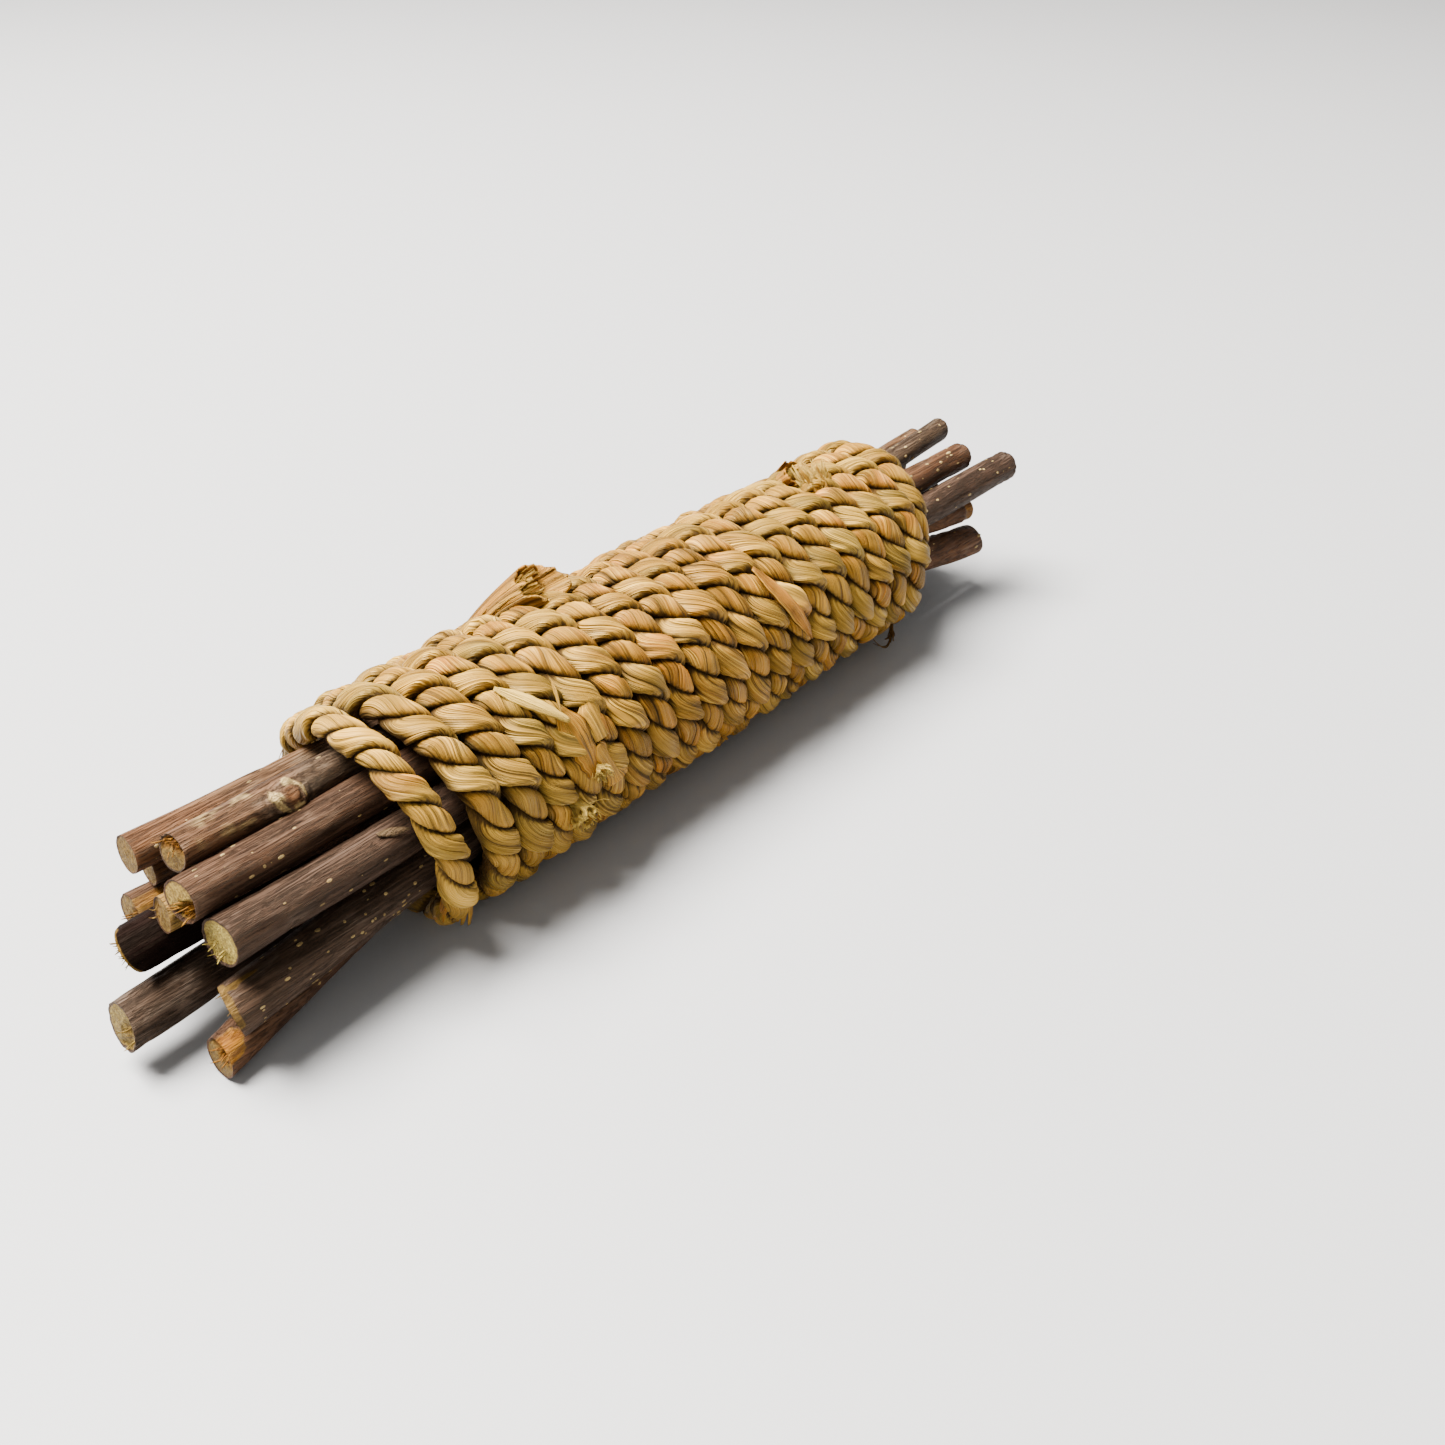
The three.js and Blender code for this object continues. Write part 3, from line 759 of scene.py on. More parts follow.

# %% [markdown]
# ## The ends of the three lengths
# Each length gets its cut ends and the loose leaves near them. The front length ends in two pale papery
# tufts that stand off the winding towards the camera, a low one and a high one, each a few short fans on
# a straight line. A thread of old amber leaf, darkened by painted shade, hangs below the back turns. The
# other fans take their places from counts of turns, so they stay on the rope if the winding is changed.

# %% Ends, tufts and loose leaves
# the thread's marks: old amber leaf with painted shade, as it hangs under the turns
PALE, PAPER, OLD_WITH_PAINTED_SHADE = {"bleach": 1.1}, {"bleach": 1.2}, {"amber": 1.0, "hollow": 0.7}
way = np.linspace(0, 1, 24)
LOW_TUFT = np.array([-30.7, -14.2, -1.4]) + way[:, None] * (-0.9, -4.1, -2.3)
HIGH_TUFT = np.array([-27.4, -14.8, 3.2]) + way[:, None] * (-0.5, -3.8, -1.2)
front_ends = [
    fan(turns(FRONT_START + 0.02, FRONT_START - 0.055), 12, 1.7, 0.9, 0.8, 503, amber=0.1),
    fan(turns(FRONT_START + 0.02, FRONT_START - 0.080), 24, 1.6, 1.6, 0.09, 511, amber=0.3),
    fan(LOW_TUFT, 24, 1.3, 0.7, 0.45, 504, (0.70, 1.0), 12, 0.1, curl=0.8, marks=PAPER),
    fan(LOW_TUFT, 18, 0.8, 0.5, 0.45, 510, (0.80, 1.0), 12, 0.1, amber=0.5, curl=0.8),
    fan(LOW_TUFT, 44, 1.3, 0.9, 0.12, 518, (0.75, 1.05), 8, 0.2, curl=0.9, marks=PAPER),
    fan(HIGH_TUFT, 16, 0.6, 0.6, 0.32, 512, (0.75, 1.0), 10, 0.1, curl=0.7, marks=PAPER),
    fan(HIGH_TUFT, 24, 0.6, 0.7, 0.10, 519, (0.75, 1.05), 8, 0.2, curl=0.8, marks=PAPER),
    fan(turns(0.56, 0.64, 1.0), 12, 2.3, 0.9, 0.6, 517, (0.6, 1.0), 10, 0.4, amber=0.5),
    loose_leaf(4.322, 4.402, (-5.4, -0.2), (0.0, 0.9), 1.05, 0.70, 521, 0.0, 1.12),
    loose_leaf(4.385, 4.480, (0.0, 0.6), (0.1, 0.1), 2.1, 0.45, 522, 0.55, 0.0),
    loose_leaf(4.352, 4.392, (1.2, -0.6), (0.9, 0.5), 0.28, 0.20, 523, 0.2, 0.9),
]
make_piece("front_rope_ends", front_ends, seagrass, "front_rope")
middle_ends = [
    fan(turns(MIDDLE_START + 0.03, MIDDLE_START - 0.02), 10, 1.8, 0.8, 0.8, 505, amber=0.4),
    fan(turns(17.155, 17.226, 2.8), 24, 2.2, 0.5, 0.8, 506, (0.85, 1.0), 12, 0.1, amber=1.3),
    loose_leaf(5.388, 5.442, (-0.5, -0.8), (0.1, 0.3), 1.95, 0.10, 524, 0.15, 0.3),
    loose_leaf(5.446, 5.505, (-2.2, -0.6), (0.2, 0.8), 1.9, 0.05, 525, 0.35, 0.2),
    loose_leaf(13.350, 13.482, (-5.4, -0.3), (0.8, 0.8), 1.7, 0.95, 526, 1.2, 0.0),
    fan(turns(10.600, 10.640, 2.0), 14, 1.2, 1.6, 0.5, 513, (0.6, 1.0), 8, 0.3, amber=0.9),
]
make_piece("middle_rope_ends", middle_ends, seagrass, "middle_rope")
sag = np.sin(np.pi * way)
thread = np.stack([47.5 - 6.5 * way, -11.8 - 1.5 * sag, -10.8 - 2.6 * sag], 1)
back_ends = [
    fan(turns(17.300, 17.240, 3.6, 0.6), 26, 2.0, 1.3, 0.40, 507, (0.6, 1.0), 12, 0.3, amber=0.3, curl=0.5),
    fan(turns(17.290, 17.240, 4.4, 0.6), 90, 1.9, 1.6, 0.13, 514, (0.6, 1.05), 8, 0.2, curl=0.7, marks=PALE),
    fan(turns(TURNS - 0.03, TURNS + 0.05), 10, 1.2, 0.8, 0.6, 508, amber=0.9),
    fan(thread, 2, 0.1, 0.4, 0.13, 515, (0.85, 1.0), 16, 0.5, marks=OLD_WITH_PAINTED_SHADE),
    fan(thread[:9], 5, 0.3, 0.6, 0.40, 516, (0.6, 1.0), 8, 0.5, marks=OLD_WITH_PAINTED_SHADE),
]
make_piece("back_rope_ends", back_ends, seagrass, "back_rope")

# %% [markdown]
# ## Bark
# Apple bark on thin shoots is a dull brown with a grey film that cracks lengthwise. The streaks are noise
# stretched along X, because every stick runs that way. A crack is drawn where a noise passes its middle
# value, which gives long thin lines. Marks on the mesh say where the wood shows, where it is torn and
# golden, where the bark is ruddy, and where a pale pore or the knot stands. Each stick has a material of
# its own, because each grew with its own browns, and some cut faces are made paler than others.

# %% Bark and wood material
RUDDY_DARK, RUDDY_LIGHT = (0.055, 0.019, 0.006), (0.125, 0.051, 0.019)
PORE_DARK, PORE_LIGHT = (0.20, 0.125, 0.045), (0.37, 0.265, 0.110)
GOLD_DARK, GOLD_LIGHT = (0.110, 0.034, 0.0014), (0.235, 0.088, 0.0030)
CRACK = (0.007, 0.0035, 0.002)
BARK_SHEEN, BARK_RELIEF = (1.0, 0.72, 0.48, 1), 0.0004
CREAM = np.array([(0.068, 0.037, 0.007), (0.162, 0.101, 0.023), (0.105, 0.056, 0.010)])


def make_bark(name, dark, light, grey, grey_share, rough, shine, cut_gain):
    """Streaks of two browns and a grey, thin cracks, pale pores, and cream wood where it was cut."""
    wood_dark, wood_light, wood_rim = CREAM * np.array([cut_gain, cut_gain, np.sqrt(cut_gain)])
    strength = min(1.0, rough - 0.25)
    material, tone, output = new_material(name)
    place = tone.node("ShaderNodeTexCoord", {}, out=3)
    broad = place.scaled(45, 460, 460).noise(3.0, 0.55)
    lines = place.scaled(60, 2900, 2900).noise(3.0, 0.65)
    grain = place.scaled(700, 4800, 4800).noise(2.0, 0.6)
    film = place.scaled(110, 330, 330).noise(4.0, 0.65)
    pale, wood, gold = tone.mark("pale"), tone.mark("wood"), tone.mark("gold")
    ruddy, rim = tone.mark("ruddy"), tone.mark("rim")
    colour = broad.between(0.30, 0.66).mix(dark, light)
    colour = ruddy.mix(colour, broad.between(0.3, 0.7).mix(RUDDY_DARK, RUDDY_LIGHT))
    veil = film.between(0.64 - 0.25 * grey_share, 0.80 - 0.25 * grey_share)
    colour = (veil * (0.75 - ruddy * 0.5)).mix(colour, grey)
    colour = (lines.between(0.54, 0.72) * (0.55 * strength)).mix(colour, grey)
    crack = 1 - tone.maths("ABSOLUTE", lines - 0.47).between(0.0, 0.05)
    colour = (crack * (0.35 + 0.5 * strength)).mix(colour, CRACK)
    colour = (grain.between(0.5, 0.8) * 0.35).mix(colour, dark)
    colour = pale.mix(colour, grain.between(0.3, 0.6).mix(PORE_DARK, PORE_LIGHT))
    fibre = place.scaled(260, 2600, 2600).noise(3.0, 0.6)
    cream = fibre.between(0.35, 0.68).mix(wood_dark, wood_light)
    cream = gold.mix(cream, fibre.between(0.38, 0.65).mix(GOLD_DARK, GOLD_LIGHT))
    cream = (rim * 0.75).mix(cream, wood_rim)
    colour = wood.between(0.3, 0.7).mix(colour, cream)
    height = lines * 0.6 + grain * 0.3 + broad * 0.6 - crack * 0.4
    roughness = 0.55 + grain * 0.2
    fixed = {"Specular IOR Level": shine, "Specular Tint": BARK_SHEEN}
    finish_material(tone, output, colour, roughness, height, BARK_RELIEF, fixed)
    return material


print("cut wood has", len(CREAM), "shades: dark, light and the rim under the bark")

# %% [markdown]
# ## The sticks
# Each solid of the frame is a row of eight-cornered rings. A circle laid through the corners of a ring
# gives the stick's middle and radius there, and a plane through the end ring gives its cut. The finished
# stick is a finer row of rings on the same line, with furrows, pores and a cut face of smaller rings.

# %% Read a stick's line off its solid
STATIONS = [-72, -63, -53, -44, 0, 44, 55, 68]
FRONT_ENDS_X, BACK_ENDS_X = -74, 70


def read_ring(ring):
    """Circle through points by least squares: 2yY + 2zZ + c = y2 + z2 gives its middle and radius."""
    y, z = ring[:, 1], ring[:, 2]
    table = np.stack([2 * y, 2 * z, np.ones(len(y))], 1)
    middle_y, middle_z, rest = np.linalg.lstsq(table, y * y + z * z, rcond=None)[0]
    radius = np.sqrt(rest + middle_y**2 + middle_z**2)
    return middle_y, middle_z, radius


def read_stick(node):
    """Rows of x, y, z, radius along a stick, and the slope of its two cuts across Y and Z."""
    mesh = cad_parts[node].data
    spots = np.empty(len(mesh.vertices) * 3, np.float32)
    mesh.vertices.foreach_get("co", spots)
    spots = np.unique(np.round(spots.reshape(-1, 3) / MM - AXIS, 3), axis=0)
    rows = []
    cuts = []
    for ring in (spots[spots[:, 0] < FRONT_ENDS_X], spots[spots[:, 0] > BACK_ENDS_X]):
        y, z, radius = read_ring(ring)
        table = np.stack([ring[:, 1] - y, ring[:, 2] - z, np.ones(len(ring))], 1)
        slope_y, slope_z, x = np.linalg.lstsq(table, ring[:, 0], rcond=None)[0]
        rows.append([x, y, z, radius])
        cuts.append([slope_y, slope_z])
    for x in STATIONS:
        ring = spots[np.abs(spots[:, 0] - x) < 0.03]
        if len(ring) > 4:
            rows.append([x, *read_ring(ring)])
    return np.array(sorted(rows)), np.array(cuts)


def smooth_line(x, known):
    """A line through known points whose slope at each is that of its two neighbours."""
    slope = np.gradient(known[:, 1], known[:, 0])
    low = np.clip(np.searchsorted(known[:, 0], x) - 1, 0, len(known) - 2)
    gap = known[low + 1, 0] - known[low, 0]
    t = (x - known[low, 0]) / gap
    a, b = known[low, 1], known[low + 1, 1]
    bend = t * (1 - t) ** 2 * slope[low] - t * t * (1 - t) * slope[low + 1]
    return a + (b - a) * t * t * (3 - 2 * t) + gap * bend


print("stick_1 runs along", np.round(read_stick("stick_1")[0][[0, -1]], 1).tolist())

# %% [markdown]
# ## Each stick's own looks
# The photograph shows every front end. Some are clean cuts, some were torn, some have lost bark. A row of
# the table is one stick. It names the bark's three colours, says how grey, ruddy and rough the bark is, how
# many pores it has at the front and at the back, how golden and how deep the torn side of its front end
# is and which way that side faces in degrees, and counts its slivers. What only a few sticks have stands
# below: a ruddy back end, a slanting cut, bare wood made darker, and a paler cut face.

# %% Table of looks
RED = ((0.0275, 0.0110, 0.0043), (0.0820, 0.0392, 0.0165), (0.0960, 0.0630, 0.0370))
PLUM = ((0.0195, 0.0080, 0.0042), (0.0620, 0.0285, 0.0142), (0.0850, 0.0490, 0.0295))
SLATE = ((0.0130, 0.0062, 0.0042), (0.0410, 0.0215, 0.0132), (0.0640, 0.0420, 0.0300))
GREY = ((0.0190, 0.0104, 0.0060), (0.0560, 0.0338, 0.0196), (0.0960, 0.0700, 0.0470))
MURK = ((0.0120, 0.0062, 0.0040), (0.0430, 0.0250, 0.0160), (0.0850, 0.0600, 0.0440))
# near-black bark of the seventh stick: partly its own dark colour, partly painted shade of the sticks above
DARK_WITH_PAINTED_SHADE = ((0.0012, 0.0004, 0.0004), (0.0042, 0.0014, 0.0013), (0.0070, 0.0034, 0.0028))
LOOK_NAMES = ("bark", "grey", "ruddy", "rough", "pores", "gold", "deep", "side", "slivers")
LOOK_ROWS = [
    (RED, 0.6, 0.9, 0.6, (34, 8), 0.1, 0.1, 90, 0),
    (GREY, 0.55, 0.6, 0.8, (10, 26), 1.0, 0.7, 80, 5),
    (RED, 0.5, 0.3, 0.6, (10, 6), 0.1, 0.1, 0, 0),
    (RED, 0.3, 0.2, 0.6, (10, 6), 0.7, 0.3, 200, 3),
    (PLUM, 0.4, 0.1, 0.7, (8, 8), 0.2, 0.2, 0, 3),
    (PLUM, 0.5, 0.1, 0.7, (50, 50), 1.0, 2.0, 235, 9),
    (DARK_WITH_PAINTED_SHADE, 0.1, 0.0, 0.6, (6, 6), 0.1, 0.3, 320, 30),
    (SLATE, 0.3, 0.0, 1.15, (24, 36), 0.1, 0.3, 300, 12),
    (MURK, 0.65, 0.0, 1.5, (8, 6), 0.2, 0.5, 200, 4),
    (MURK, 0.3, 0.1, 1.1, (110, 16), 0.1, 0.3, 90, 4),
    (PLUM, 0.3, 0.5, 1.0, (22, 6), 1.0, 0.8, 120, 5),
]
LOOKS = {f"stick_{number}": dict(zip(LOOK_NAMES, row)) for number, row in enumerate(LOOK_ROWS, 1)}
BACK_RUDDY = {"stick_5": 0.8, "stick_6": 0.4, "stick_10": 1.0}
SLANTS = {"stick_7": (0.50, -0.42)}
# bare wood of these sticks is darkened towards the colour of the rim under the bark
BARE_DARKER = {"stick_10": 0.5, "stick_7": 0.3}
# paler cut faces: the three numbers scale red, green and blue of the wood, their roots those of the rim
PALER_CUTS = {"stick_6": (2.3, 2.5, 2.2), "stick_8": (2.5, 3.1, 3.0), "stick_9": (1.3, 1.5, 1.5)}
print(len(LOOKS), "sticks in the table")

# %% [markdown]
# ## Bare places and the knot
# Bark was chipped off at some ends, and on the second stick a side shoot left a knot. Sculpting them would
# not survive a change of the stick, so both are functions of the place along the stick and the angle round
# it: soft boxes with a ragged edge for the bare places, round humps and dips for the knot.

# %% Where the bark is gone and where the knot is
KNOT_X, KNOT_ANGLE = -63.5, np.arctan2(0.5, -0.8)


def strip(turn, middle):
    """How far an angle round the stick is from a middle, in turns."""
    return np.abs((turn - middle + 0.5) % 1 - 0.5)


def bare_share(node, x, turn, front, back):
    """How far the bark is gone: 1 is bare wood. Each bare place is a soft box in X and angle."""
    depth, rest = x - front, back - x
    ragged = 0.5 * ripple(turn, x, 9, 1.1, 31) + 0.3 * ripple(turn, x, 23, 0.7, 32)
    if node == "stick_4":
        return ease(4.4 + 1.2 * ragged - depth, 0, 0.4) * ease(strip(turn, 0.22), 0.06, 0.09)
    if node == "stick_5":
        return ease(2.2 + 1.2 * ragged - np.minimum(depth, rest), 0, 0.4)
    if node == "stick_7":
        return ease(0.5 + 0.4 * ragged - depth, 0, 0.4)
    if node == "stick_10":
        rim = ease(0.9 + 0.3 * ragged - depth, 0, 0.3) * ease(0.2 - strip(turn, 0.32), 0, 0.04)
        rim = np.maximum(rim, ease(0.6 + 0.5 * ragged - rest, 0, 0.3))
        peeled = ease(0.020 + 0.02 * ragged - strip(turn, 0.25), 0, 0.012) * ease(4.5 - depth, 0, 0.6)
        return np.maximum(rim, peeled)
    if node == "stick_11":
        return ease(0.13 + 0.04 * ragged - strip(turn, 0.36), 0, 0.02) * ease(2.8 + ragged - depth, 0, 0.5)
    return np.zeros(np.broadcast(x, turn).shape)


def knot(x, turn):
    """A collar round a sunken scar: a broad hump less a narrow one. Its marks colour collar, scar, chip."""
    gap = np.angle(np.exp(1j * (2 * np.pi * turn - KNOT_ANGLE))) * 2.2
    far = np.hypot((x - KNOT_X) / 1.35, gap)
    lump = 1.25 * np.exp(-((far / 1.5) ** 2)) - 0.7 * np.exp(-((far / 0.6) ** 2))
    lump = lump + 0.4 * np.exp(-(((far - 1.5) / 0.45) ** 2)) * ripple(turn, x, 13, 0.9, 61)
    chip = np.exp(-(((x - KNOT_X + 1.9) / 0.75) ** 2) - ((gap + 0.35) / 0.75) ** 2)
    chip = ease(chip + 0.25 * ripple(turn, x, 19, 0.5, 65), 0.35, 0.6)
    collar = np.exp(-(((far - 1.35) / 0.4) ** 2)) * ease(ripple(turn, x, 15, 0.8, 62), -0.4, 0.4)
    collar = ease(collar, 0.3, 0.6)
    lump = lump - 0.3 * np.exp(-(((far - 1.0) / 0.2) ** 2)) - 0.25 * np.exp(-(((far - 2.2) / 0.25) ** 2))
    mottle = 0.45 * ease(ripple(turn, x, 17, 1.3, 63) + 0.5 * ripple(turn, x, 29, 0.7, 64), 0.15, 0.7)
    mottle = mottle * ease(-x, 64, 67) * ease(x, -77, -73) * ease(0.2 - strip(turn, 0.34), 0, 0.08)
    scar = np.exp(-(((x - KNOT_X - 0.3) / 1.0) ** 2) - ((gap - 1.2) / 0.6) ** 2)
    scar = np.exp(-((far / 0.95) ** 2)) + 0.8 * scar
    return lump + 0.35 * chip, np.clip(collar + 1.6 * chip + mottle, 0, 1), np.clip(scar, 0, 1) * (1 - chip)


knot_lump = knot(np.linspace(KNOT_X - 3, KNOT_X + 3, 60)[:, None], np.linspace(0, 1, 90)[None, :])[0]
print("the knot rises", round(float(knot_lump.max()), 2), "mm")

# %% [markdown]
# ## A stick as a surface
# A stick's surface is its line plus a radius that depends on the place along it and the angle round it.
# The furrows are where a noise that is long in X crosses zero. Bare wood lies a little below the bark. The
# cut face shows a ring of bark, a dark line inside it, and wood that was torn deeper on one side. Rings lie
# close together where a stick shows and far apart inside the winding, where nobody sees it.

# %% A stick with its two cut faces
STICK_POINTS = 48
LID_SHARES = np.array([0.985, 0.93, 0.88, 0.82, 0.68, 0.52, 0.36, 0.20, 0.06])
HIDDEN_FROM, HIDDEN_TO = -45, 50
FRONT_RING, HIDDEN_RING, BACK_RING, KNOT_RING = 0.45, 4, 0.6, 0.15
CROOK, BARK_THICK = 0.22, 0.22
FURROW_CUT, WRINKLE_CUT = 0.18, 0.09


def end_face(edge, way, looks, end, seed):
    """Rings that shrink to the middle of a cut. The torn side lies deeper, and tears are noise across it."""
    turn = np.linspace(0, 1, STICK_POINTS, endpoint=False)[None, :]
    share = LID_SHARES[:, None]
    middle = edge.mean(0)
    lid = middle + share[..., None] * (edge - middle)
    facing = share * np.cos(2 * np.pi * turn - np.radians(looks["side"])) if end == 0 else -share
    torn = ease(facing + 0.25 * ripple(turn, share * 4, 7, 1, seed + 8), 0.0, 0.45)
    torn = torn * ease(-share, -0.94, -0.86)
    fray = ripple(turn, share * 5, 17, 0.6, seed + 9) + 0.6 * ripple(turn, share * 7, 29, 0.6, seed + 10)
    depth = looks["deep"] * torn * (0.75 + 0.5 * fray) + 0.05 * fray + 0.08 * share
    lid[..., 0] -= way * depth * ease(-share, -1.0, -0.9)
    wood = np.broadcast_to(ease(-share, -0.94, -0.87), torn.shape)
    dark_ring = ease(share, 0.80, 0.87) + 0.3 * ease(-share, -0.5, -0.1) + 0.25 * np.cos(share * 26) ** 8
    marks = {"wood": wood, "gold": looks["gold"] * torn, "pale": 0 * torn, "ruddy": 0 * torn}
    marks["rim"] = np.clip(dark_ring * (0.8 + 0.4 * fray), 0, 1) * (1 - 0.7 * torn)
    return lid, marks


def stick_surface(node, seed):
    """Rings along the stick, then smaller and smaller rings across each cut face."""
    looks = LOOKS[node]
    known, cuts = read_stick(node)
    cuts[0] = SLANTS.get(node, cuts[0])
    front, back = known[0, 0], known[-1, 0]
    hidden = np.arange(HIDDEN_FROM, HIDDEN_TO, HIDDEN_RING)
    x = np.r_[np.arange(front, HIDDEN_FROM, FRONT_RING), hidden, np.arange(HIDDEN_TO, back, BACK_RING), back]
    if node == "stick_2":
        x = np.union1d(x, np.arange(KNOT_X - 3.5, KNOT_X + 3, KNOT_RING))
    line = np.stack([smooth_line(x, known[:, [0, column]]) for column in (1, 2, 3)], 1)
    crook = ease(x, front, front + 20) * ease(-x, -back, 20 - back)
    line[:, 0] += CROOK * crook * wander(x, 19, seed)
    line[:, 1] += CROOK * crook * wander(x, 23, seed + 1)
    turn = np.linspace(0, 1, STICK_POINTS, endpoint=False)[None, :]
    x2 = x[:, None]
    swell = 1 + 0.035 * wander(x2, 9, seed + 2) + 0.02 * ripple(turn, x2, 5, 12, seed + 3)
    furrow = 1 - np.abs(ripple(turn, x2, 17, 11, seed + 4))
    wrinkle = 1 - np.abs(ripple(turn, x2, 31, 5, seed + 5))
    cut_in = looks["rough"] * (FURROW_CUT * furrow**8 + WRINKLE_CUT * wrinkle**5)
    bare = bare_share(node, x2, turn, front, back)
    radius = line[:, 2][:, None] * swell - cut_in * (1 - bare) - BARK_THICK * bare
    pale = np.zeros(radius.shape)
    ruddy = looks["ruddy"] * ease(front + 16 + 9 * ripple(turn, x2, 5, 9, seed + 6) - x2, 0, 14)
    ruddy = np.maximum(ruddy, BACK_RUDDY.get(node, 0) * ease(x2, 40, 60))
    if node == "stick_2":
        lump, pale, scar = knot(x2, turn)
        radius = radius + lump
        ruddy = np.maximum(ruddy, scar)
    spin = 2 * np.pi * turn
    y, z = radius * np.cos(spin), radius * np.sin(spin)
    near_front, near_back = ease(-x2, -front - 3, -front), ease(x2, back - 3, back)
    slant = near_front * (cuts[0, 0] * y + cuts[0, 1] * z) + near_back * (cuts[1, 0] * y + cuts[1, 1] * z)
    body = np.stack([x2 + slant, line[:, :1] + y, line[:, 1:2] + z], -1)
    gold = bare * np.where(x2 > 0, 1.0, looks["gold"]) * (0.8 + 0.35 * ripple(turn, x2, 12, 2.5, seed + 7))
    darker_bare = BARE_DARKER.get(node, 0) * bare
    marks = {"wood": bare, "gold": gold, "pale": pale, "ruddy": ruddy, "rim": darker_bare}
    first, first_marks = end_face(body[0], -1, looks, 0, seed + 20)
    last, last_marks = end_face(body[-1], 1, looks, 1, seed + 30)
    grid = np.concatenate([first[::-1], body, last])
    parts = {key: [first_marks[key][::-1], marks[key], last_marks[key]] for key in marks}
    marks = {key: np.concatenate(rows)[None] for key, rows in parts.items()}
    return skin(grid[None], **marks), (x, line, radius)


print("a stick has", STICK_POINTS, "points round it and", len(LID_SHARES), "rings on each cut")

# %% [markdown]
# ## Pores, slivers and a flake
# The pale dots on young bark are pores: small flat oval domes, mostly longer along the stick. They are set
# on the stick's own surface, so they follow its furrows, and each is only four rings, because there are
# hundreds. Slivers are the fan of blades again, made of wood: thin, and standing out of the torn side of a
# cut. One flake of bark lifts off the eighth stick, as a single blade.

# %% Pores as small domes, slivers as a fan
PORE_RINGS, PORE_POINTS = np.array([1.0, 0.8, 0.45, 0.12]), 8
PORE_RISE, PORE_SINK = 0.35, 0.04
FRONT_PORES_TO, BACK_PORES_FROM = -50, 55
FLAKE_STICK, FLAKE_FROM, FLAKE_TO, FLAKE_TURN = "stick_8", -57.6, -54.0, 0.30


def pores(surface, count, seed):
    """Domes: rings that shrink by the table above while they rise by the root of what is lost."""
    x, line, radius = surface
    chance = np.random.default_rng(seed)
    at_front = chance.uniform(x[0] + 1, FRONT_PORES_TO, count[0])
    at_back = chance.uniform(BACK_PORES_FROM, x[-1] - 1, count[1])
    ends = np.r_[at_front, at_back]
    row = np.clip(np.searchsorted(x, ends), 1, len(x) - 2)
    point = chance.integers(0, STICK_POINTS, len(row))
    angle = 2 * np.pi * point / STICK_POINTS
    out = np.stack([np.zeros(len(row)), np.cos(angle), np.sin(angle)], 1)
    wide = np.stack([np.zeros(len(row)), -np.sin(angle), np.cos(angle)], 1)
    ahead = np.array([[1.0, 0, 0]])
    middle = np.stack([x[row], line[row, 0], line[row, 1]], 1) + out * radius[row, point][:, None]
    size = chance.uniform(0.11, 0.27, len(row)) * np.where(ends > 0, 1.15, 1.0)
    long = chance.uniform(0.9, 2.4, len(row))
    spin = np.linspace(0, 2 * np.pi, PORE_POINTS, endpoint=False)
    shrink = PORE_RINGS[None, :, None, None]
    rise = np.sqrt(1 - PORE_RINGS**2)[None, :, None, None]
    a, b = np.cos(spin)[None, None, :, None], np.sin(spin)[None, None, :, None]
    size4 = size[:, None, None, None]
    grid = middle[:, None, None] + shrink * size4 * a * wide[:, None, None]
    grid = grid + shrink * size4 * long[:, None, None, None] * b * ahead[:, None, None]
    grid = grid + (rise * PORE_RISE * size4 - PORE_SINK) * out[:, None, None]
    return skin(grid, pale=chance.uniform(0.6, 1.0, (len(row), 1, 1)))


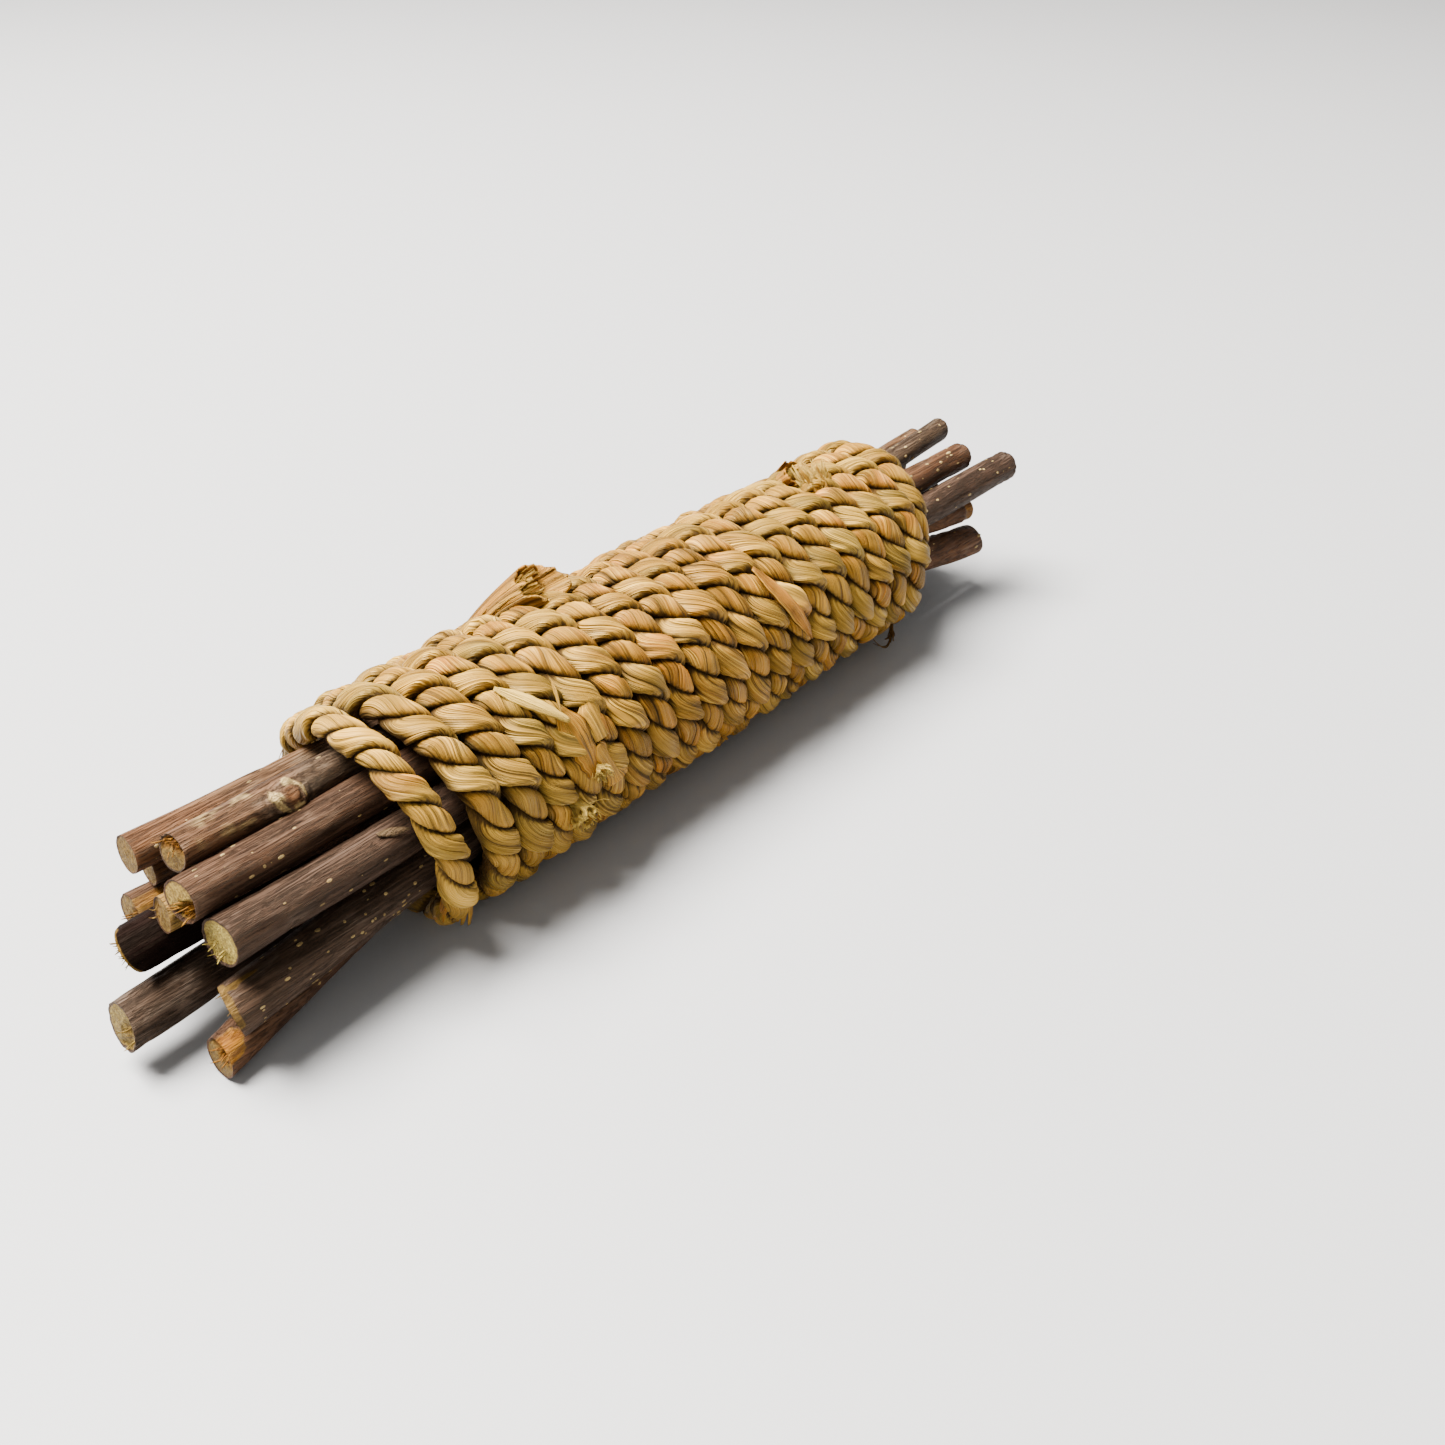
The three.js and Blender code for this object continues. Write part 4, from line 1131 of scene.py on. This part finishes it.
def slivers(surface, looks, seed):
    """A fan along X at the torn side of the front end."""
    x, line, _ = surface
    facing = np.radians(looks["side"])
    reach = line[0, 2] * 0.45
    start = np.array([x[0] + 1.2, line[0, 0] + reach * np.cos(facing), line[0, 1] + reach * np.sin(facing)])
    path = start + np.linspace(0, 1, 12)[:, None] * (-2.6, 0.1, -0.25)
    marks = {"wood": 1.0, "gold": 0.8 * looks["gold"]}
    return fan(path, looks["slivers"], 0.4 * line[0, 2], 0.9, 0.16, seed, (0.5, 1.0), 7, marks=marks)


def bark_flake(surface, start, end, turn, seed):
    """One blade of bark that lies along a stick and lifts off it towards its end."""
    x, line, _ = surface
    share = np.linspace(0, 1, 12)
    place = start + (end - start) * share
    spin = 2 * np.pi * turn + 0.5 * share
    out = np.stack([0 * share, np.cos(spin), np.sin(spin)], 1)
    middle = np.stack([np.interp(place, x, line[:, column]) for column in range(3)], 1)
    path = np.stack([place, middle[:, 0], middle[:, 1]], 1)
    path = path + (middle[:, 2] + 0.1 + 0.9 * share**2)[:, None] * out
    side = np.stack([0 * share, -np.sin(spin), np.cos(spin)], 1)
    half = 0.65 * np.sin(np.pi * (0.15 + 0.8 * share))
    row = [part[None] for part in (path, out, side, half, place - start)]
    return blades(*row, np.random.default_rng(seed), pale=0.12)


print("a pore has", len(PORE_RINGS), "rings")

# %% [markdown]
# ## The eleven sticks
# One loop dresses them all: its own bark, its own surface, its pores, its slivers. Each takes the place of
# its own solid, so the sticks stay separate things. The dark stick's near-black bark is partly its own
# colour and partly painted shade of the sticks above it, and its bark hardly shines.

# %% Make the eleven sticks
BARK_SHINE, DARK_SHINE = 0.25, 0.05
for number, (node, looks) in enumerate(LOOKS.items(), 1):
    shine = DARK_SHINE if looks["bark"] is DARK_WITH_PAINTED_SHADE else BARK_SHINE
    cut_gain = PALER_CUTS.get(node, (1, 1, 1))
    bark = make_bark("bark_" + node, *looks["bark"], looks["grey"], looks["rough"], shine, cut_gain)
    body, surface = stick_surface(node, 1000 + 50 * number)
    skins = [body, pores(surface, looks["pores"], 70 + number)]
    if looks["slivers"]:
        skins.append(slivers(surface, looks, 170 + number))
    if node == FLAKE_STICK:
        skins.append(bark_flake(surface, FLAKE_FROM, FLAKE_TO, FLAKE_TURN, 180))
    make_piece(node + "_bark", skins, bark, node)
